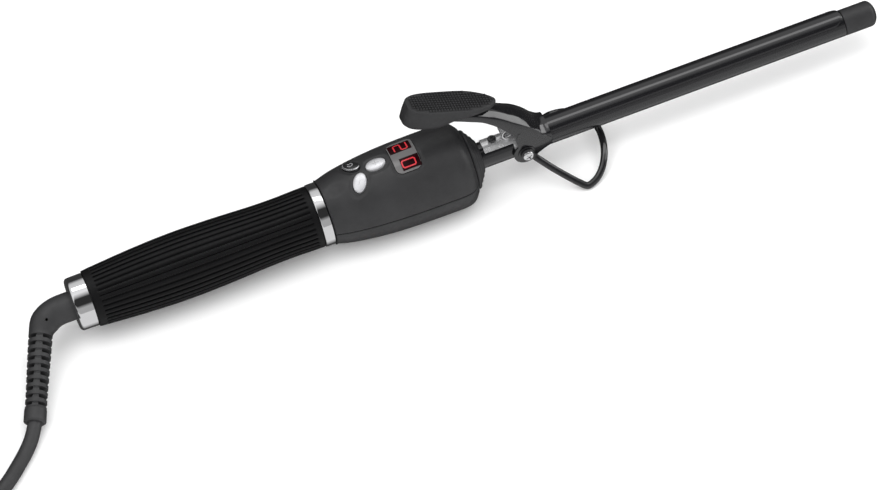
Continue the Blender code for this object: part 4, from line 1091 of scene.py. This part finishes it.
def add_stand():
    """The bent wire, hammered flat where it goes round the screws."""
    bm = swept([PIVOT + p for p in stand_path()], STAND_WIRE_R, 24)
    for v in bm.verts:
        from_pivot = math.hypot(v.co.x - PIVOT.x, v.co.z - PIVOT.z)
        side = -1 if v.co.y < 0 else 1
        flat = 1 - smoothstep(3.4 * MM, 5.2 * MM, from_pivot)
        y = min(max(abs(v.co.y), EYE_IN), EYE_OUT)
        v.co.y = side * (abs(v.co.y) + (y - abs(v.co.y)) * flat)
        v.co.z = max(v.co.z, 0.0)
    for sign in (-1, 1):
        low, high = sorted((sign * EYE_IN, sign * EYE_OUT))
        eye = disc(low, high, 3.3 * MM, 1.8 * MM, PIVOT, 0.2 * MM)
        take_in(bm, eye)
    add_piece("stand", bm, ENAMEL, "stand", ["stand_bail"], angle=50)


add_relief()
add_blade()
add_lever()
add_pad()
add_pivot_screws()
add_saddle_screw()
add_spring()
add_stand()


# ---------------------------------------------------------------- stage and light
def add_stage():
    bpy.ops.mesh.primitive_plane_add(size=6, location=(0, 0, -0.0005))
    floor = bpy.context.object
    floor.name = "floor"
    floor.visible_glossy = False  # the gloss shows the lower half of the world instead
    paper = make_material("floor_paper", (0.93, 0.93, 0.93), 0.9, mottle=0.004, grain=0.01)
    floor.data.materials.append(paper)
    world = bpy.data.worlds.new("studio")
    bpy.context.scene.world = world
    world.use_nodes = True
    tree = world.node_tree
    link = tree.links.new
    back = tree.nodes["Background"]
    back.inputs["Strength"].default_value = 1.0
    where = tree.nodes.new("ShaderNodeTexCoord")
    split = tree.nodes.new("ShaderNodeSeparateXYZ")
    ramp = tree.nodes.new("ShaderNodeValToRGB")
    link(where.outputs["Generated"], split.inputs["Vector"])
    # brightness by the angle about the X axis: 0 is the far side, 90 straight up, 180 the near side
    around = tree.nodes.new("ShaderNodeMath")
    around.operation = "ARCTAN2"
    link(split.outputs["Z"], around.inputs[0])
    link(split.outputs["Y"], around.inputs[1])
    turn = tree.nodes.new("ShaderNodeMapRange")
    turn.inputs["From Min"].default_value = -math.pi
    turn.inputs["From Max"].default_value = math.pi
    link(around.outputs[0], turn.inputs["Value"])
    link(turn.outputs["Result"], ramp.inputs["Fac"])
    stops = [
        (-180, 0.70), (-112, 0.70), (-84, 0.06), (0, 0.04), (22, 0.04), (38, 0.60),
        (92, 0.88), (106, 0.36), (114, 0.03), (144, 0.03), (156, 0.40), (180, 0.40),
    ]
    elements = ramp.color_ramp.elements
    for degrees, value in stops[1:-1]:
        elements.new((degrees + 180) / 360).color = (value, value, value, 1)
    elements[0].color = (stops[0][1],) * 3 + (1,)
    elements[-1].color = (stops[-1][1],) * 3 + (1,)
    link(ramp.outputs["Color"], back.inputs["Color"])


def add_light(name, place, target, size, power, in_gloss=False):
    data = bpy.data.lights.new(name, "AREA")
    data.shape = "RECTANGLE"
    data.size, data.size_y = size
    data.energy = power
    light = bpy.data.objects.new(name, data)
    light.location = place
    light.visible_glossy = in_gloss
    aim = Vector(target) - Vector(place)
    light.rotation_euler = aim.to_track_quat("-Z", "Y").to_euler()
    to_scene(light)


add_stage()
add_light("key", (-0.2, -0.9, 1.9), (0, 0, 0), (3.6, 2.2), 62)
add_light("near_fill", (-0.3, -2.0, 0.5), (0, 0, 0), (3.2, 0.9), 18)
# two panels whose reflections draw the light bands on the barrel and the lever
add_light("barrel_panel", (0.15, 0.42, 1.5), (0, 0, 0), (1.6, 0.42), 3.6, True)
add_light("lever_panel", (1.6, 0.1, 0.55), (0, 0, 0), (1.0, 1.0), 7.0, True)
bpy.context.scene.view_settings.view_transform = "Standard"
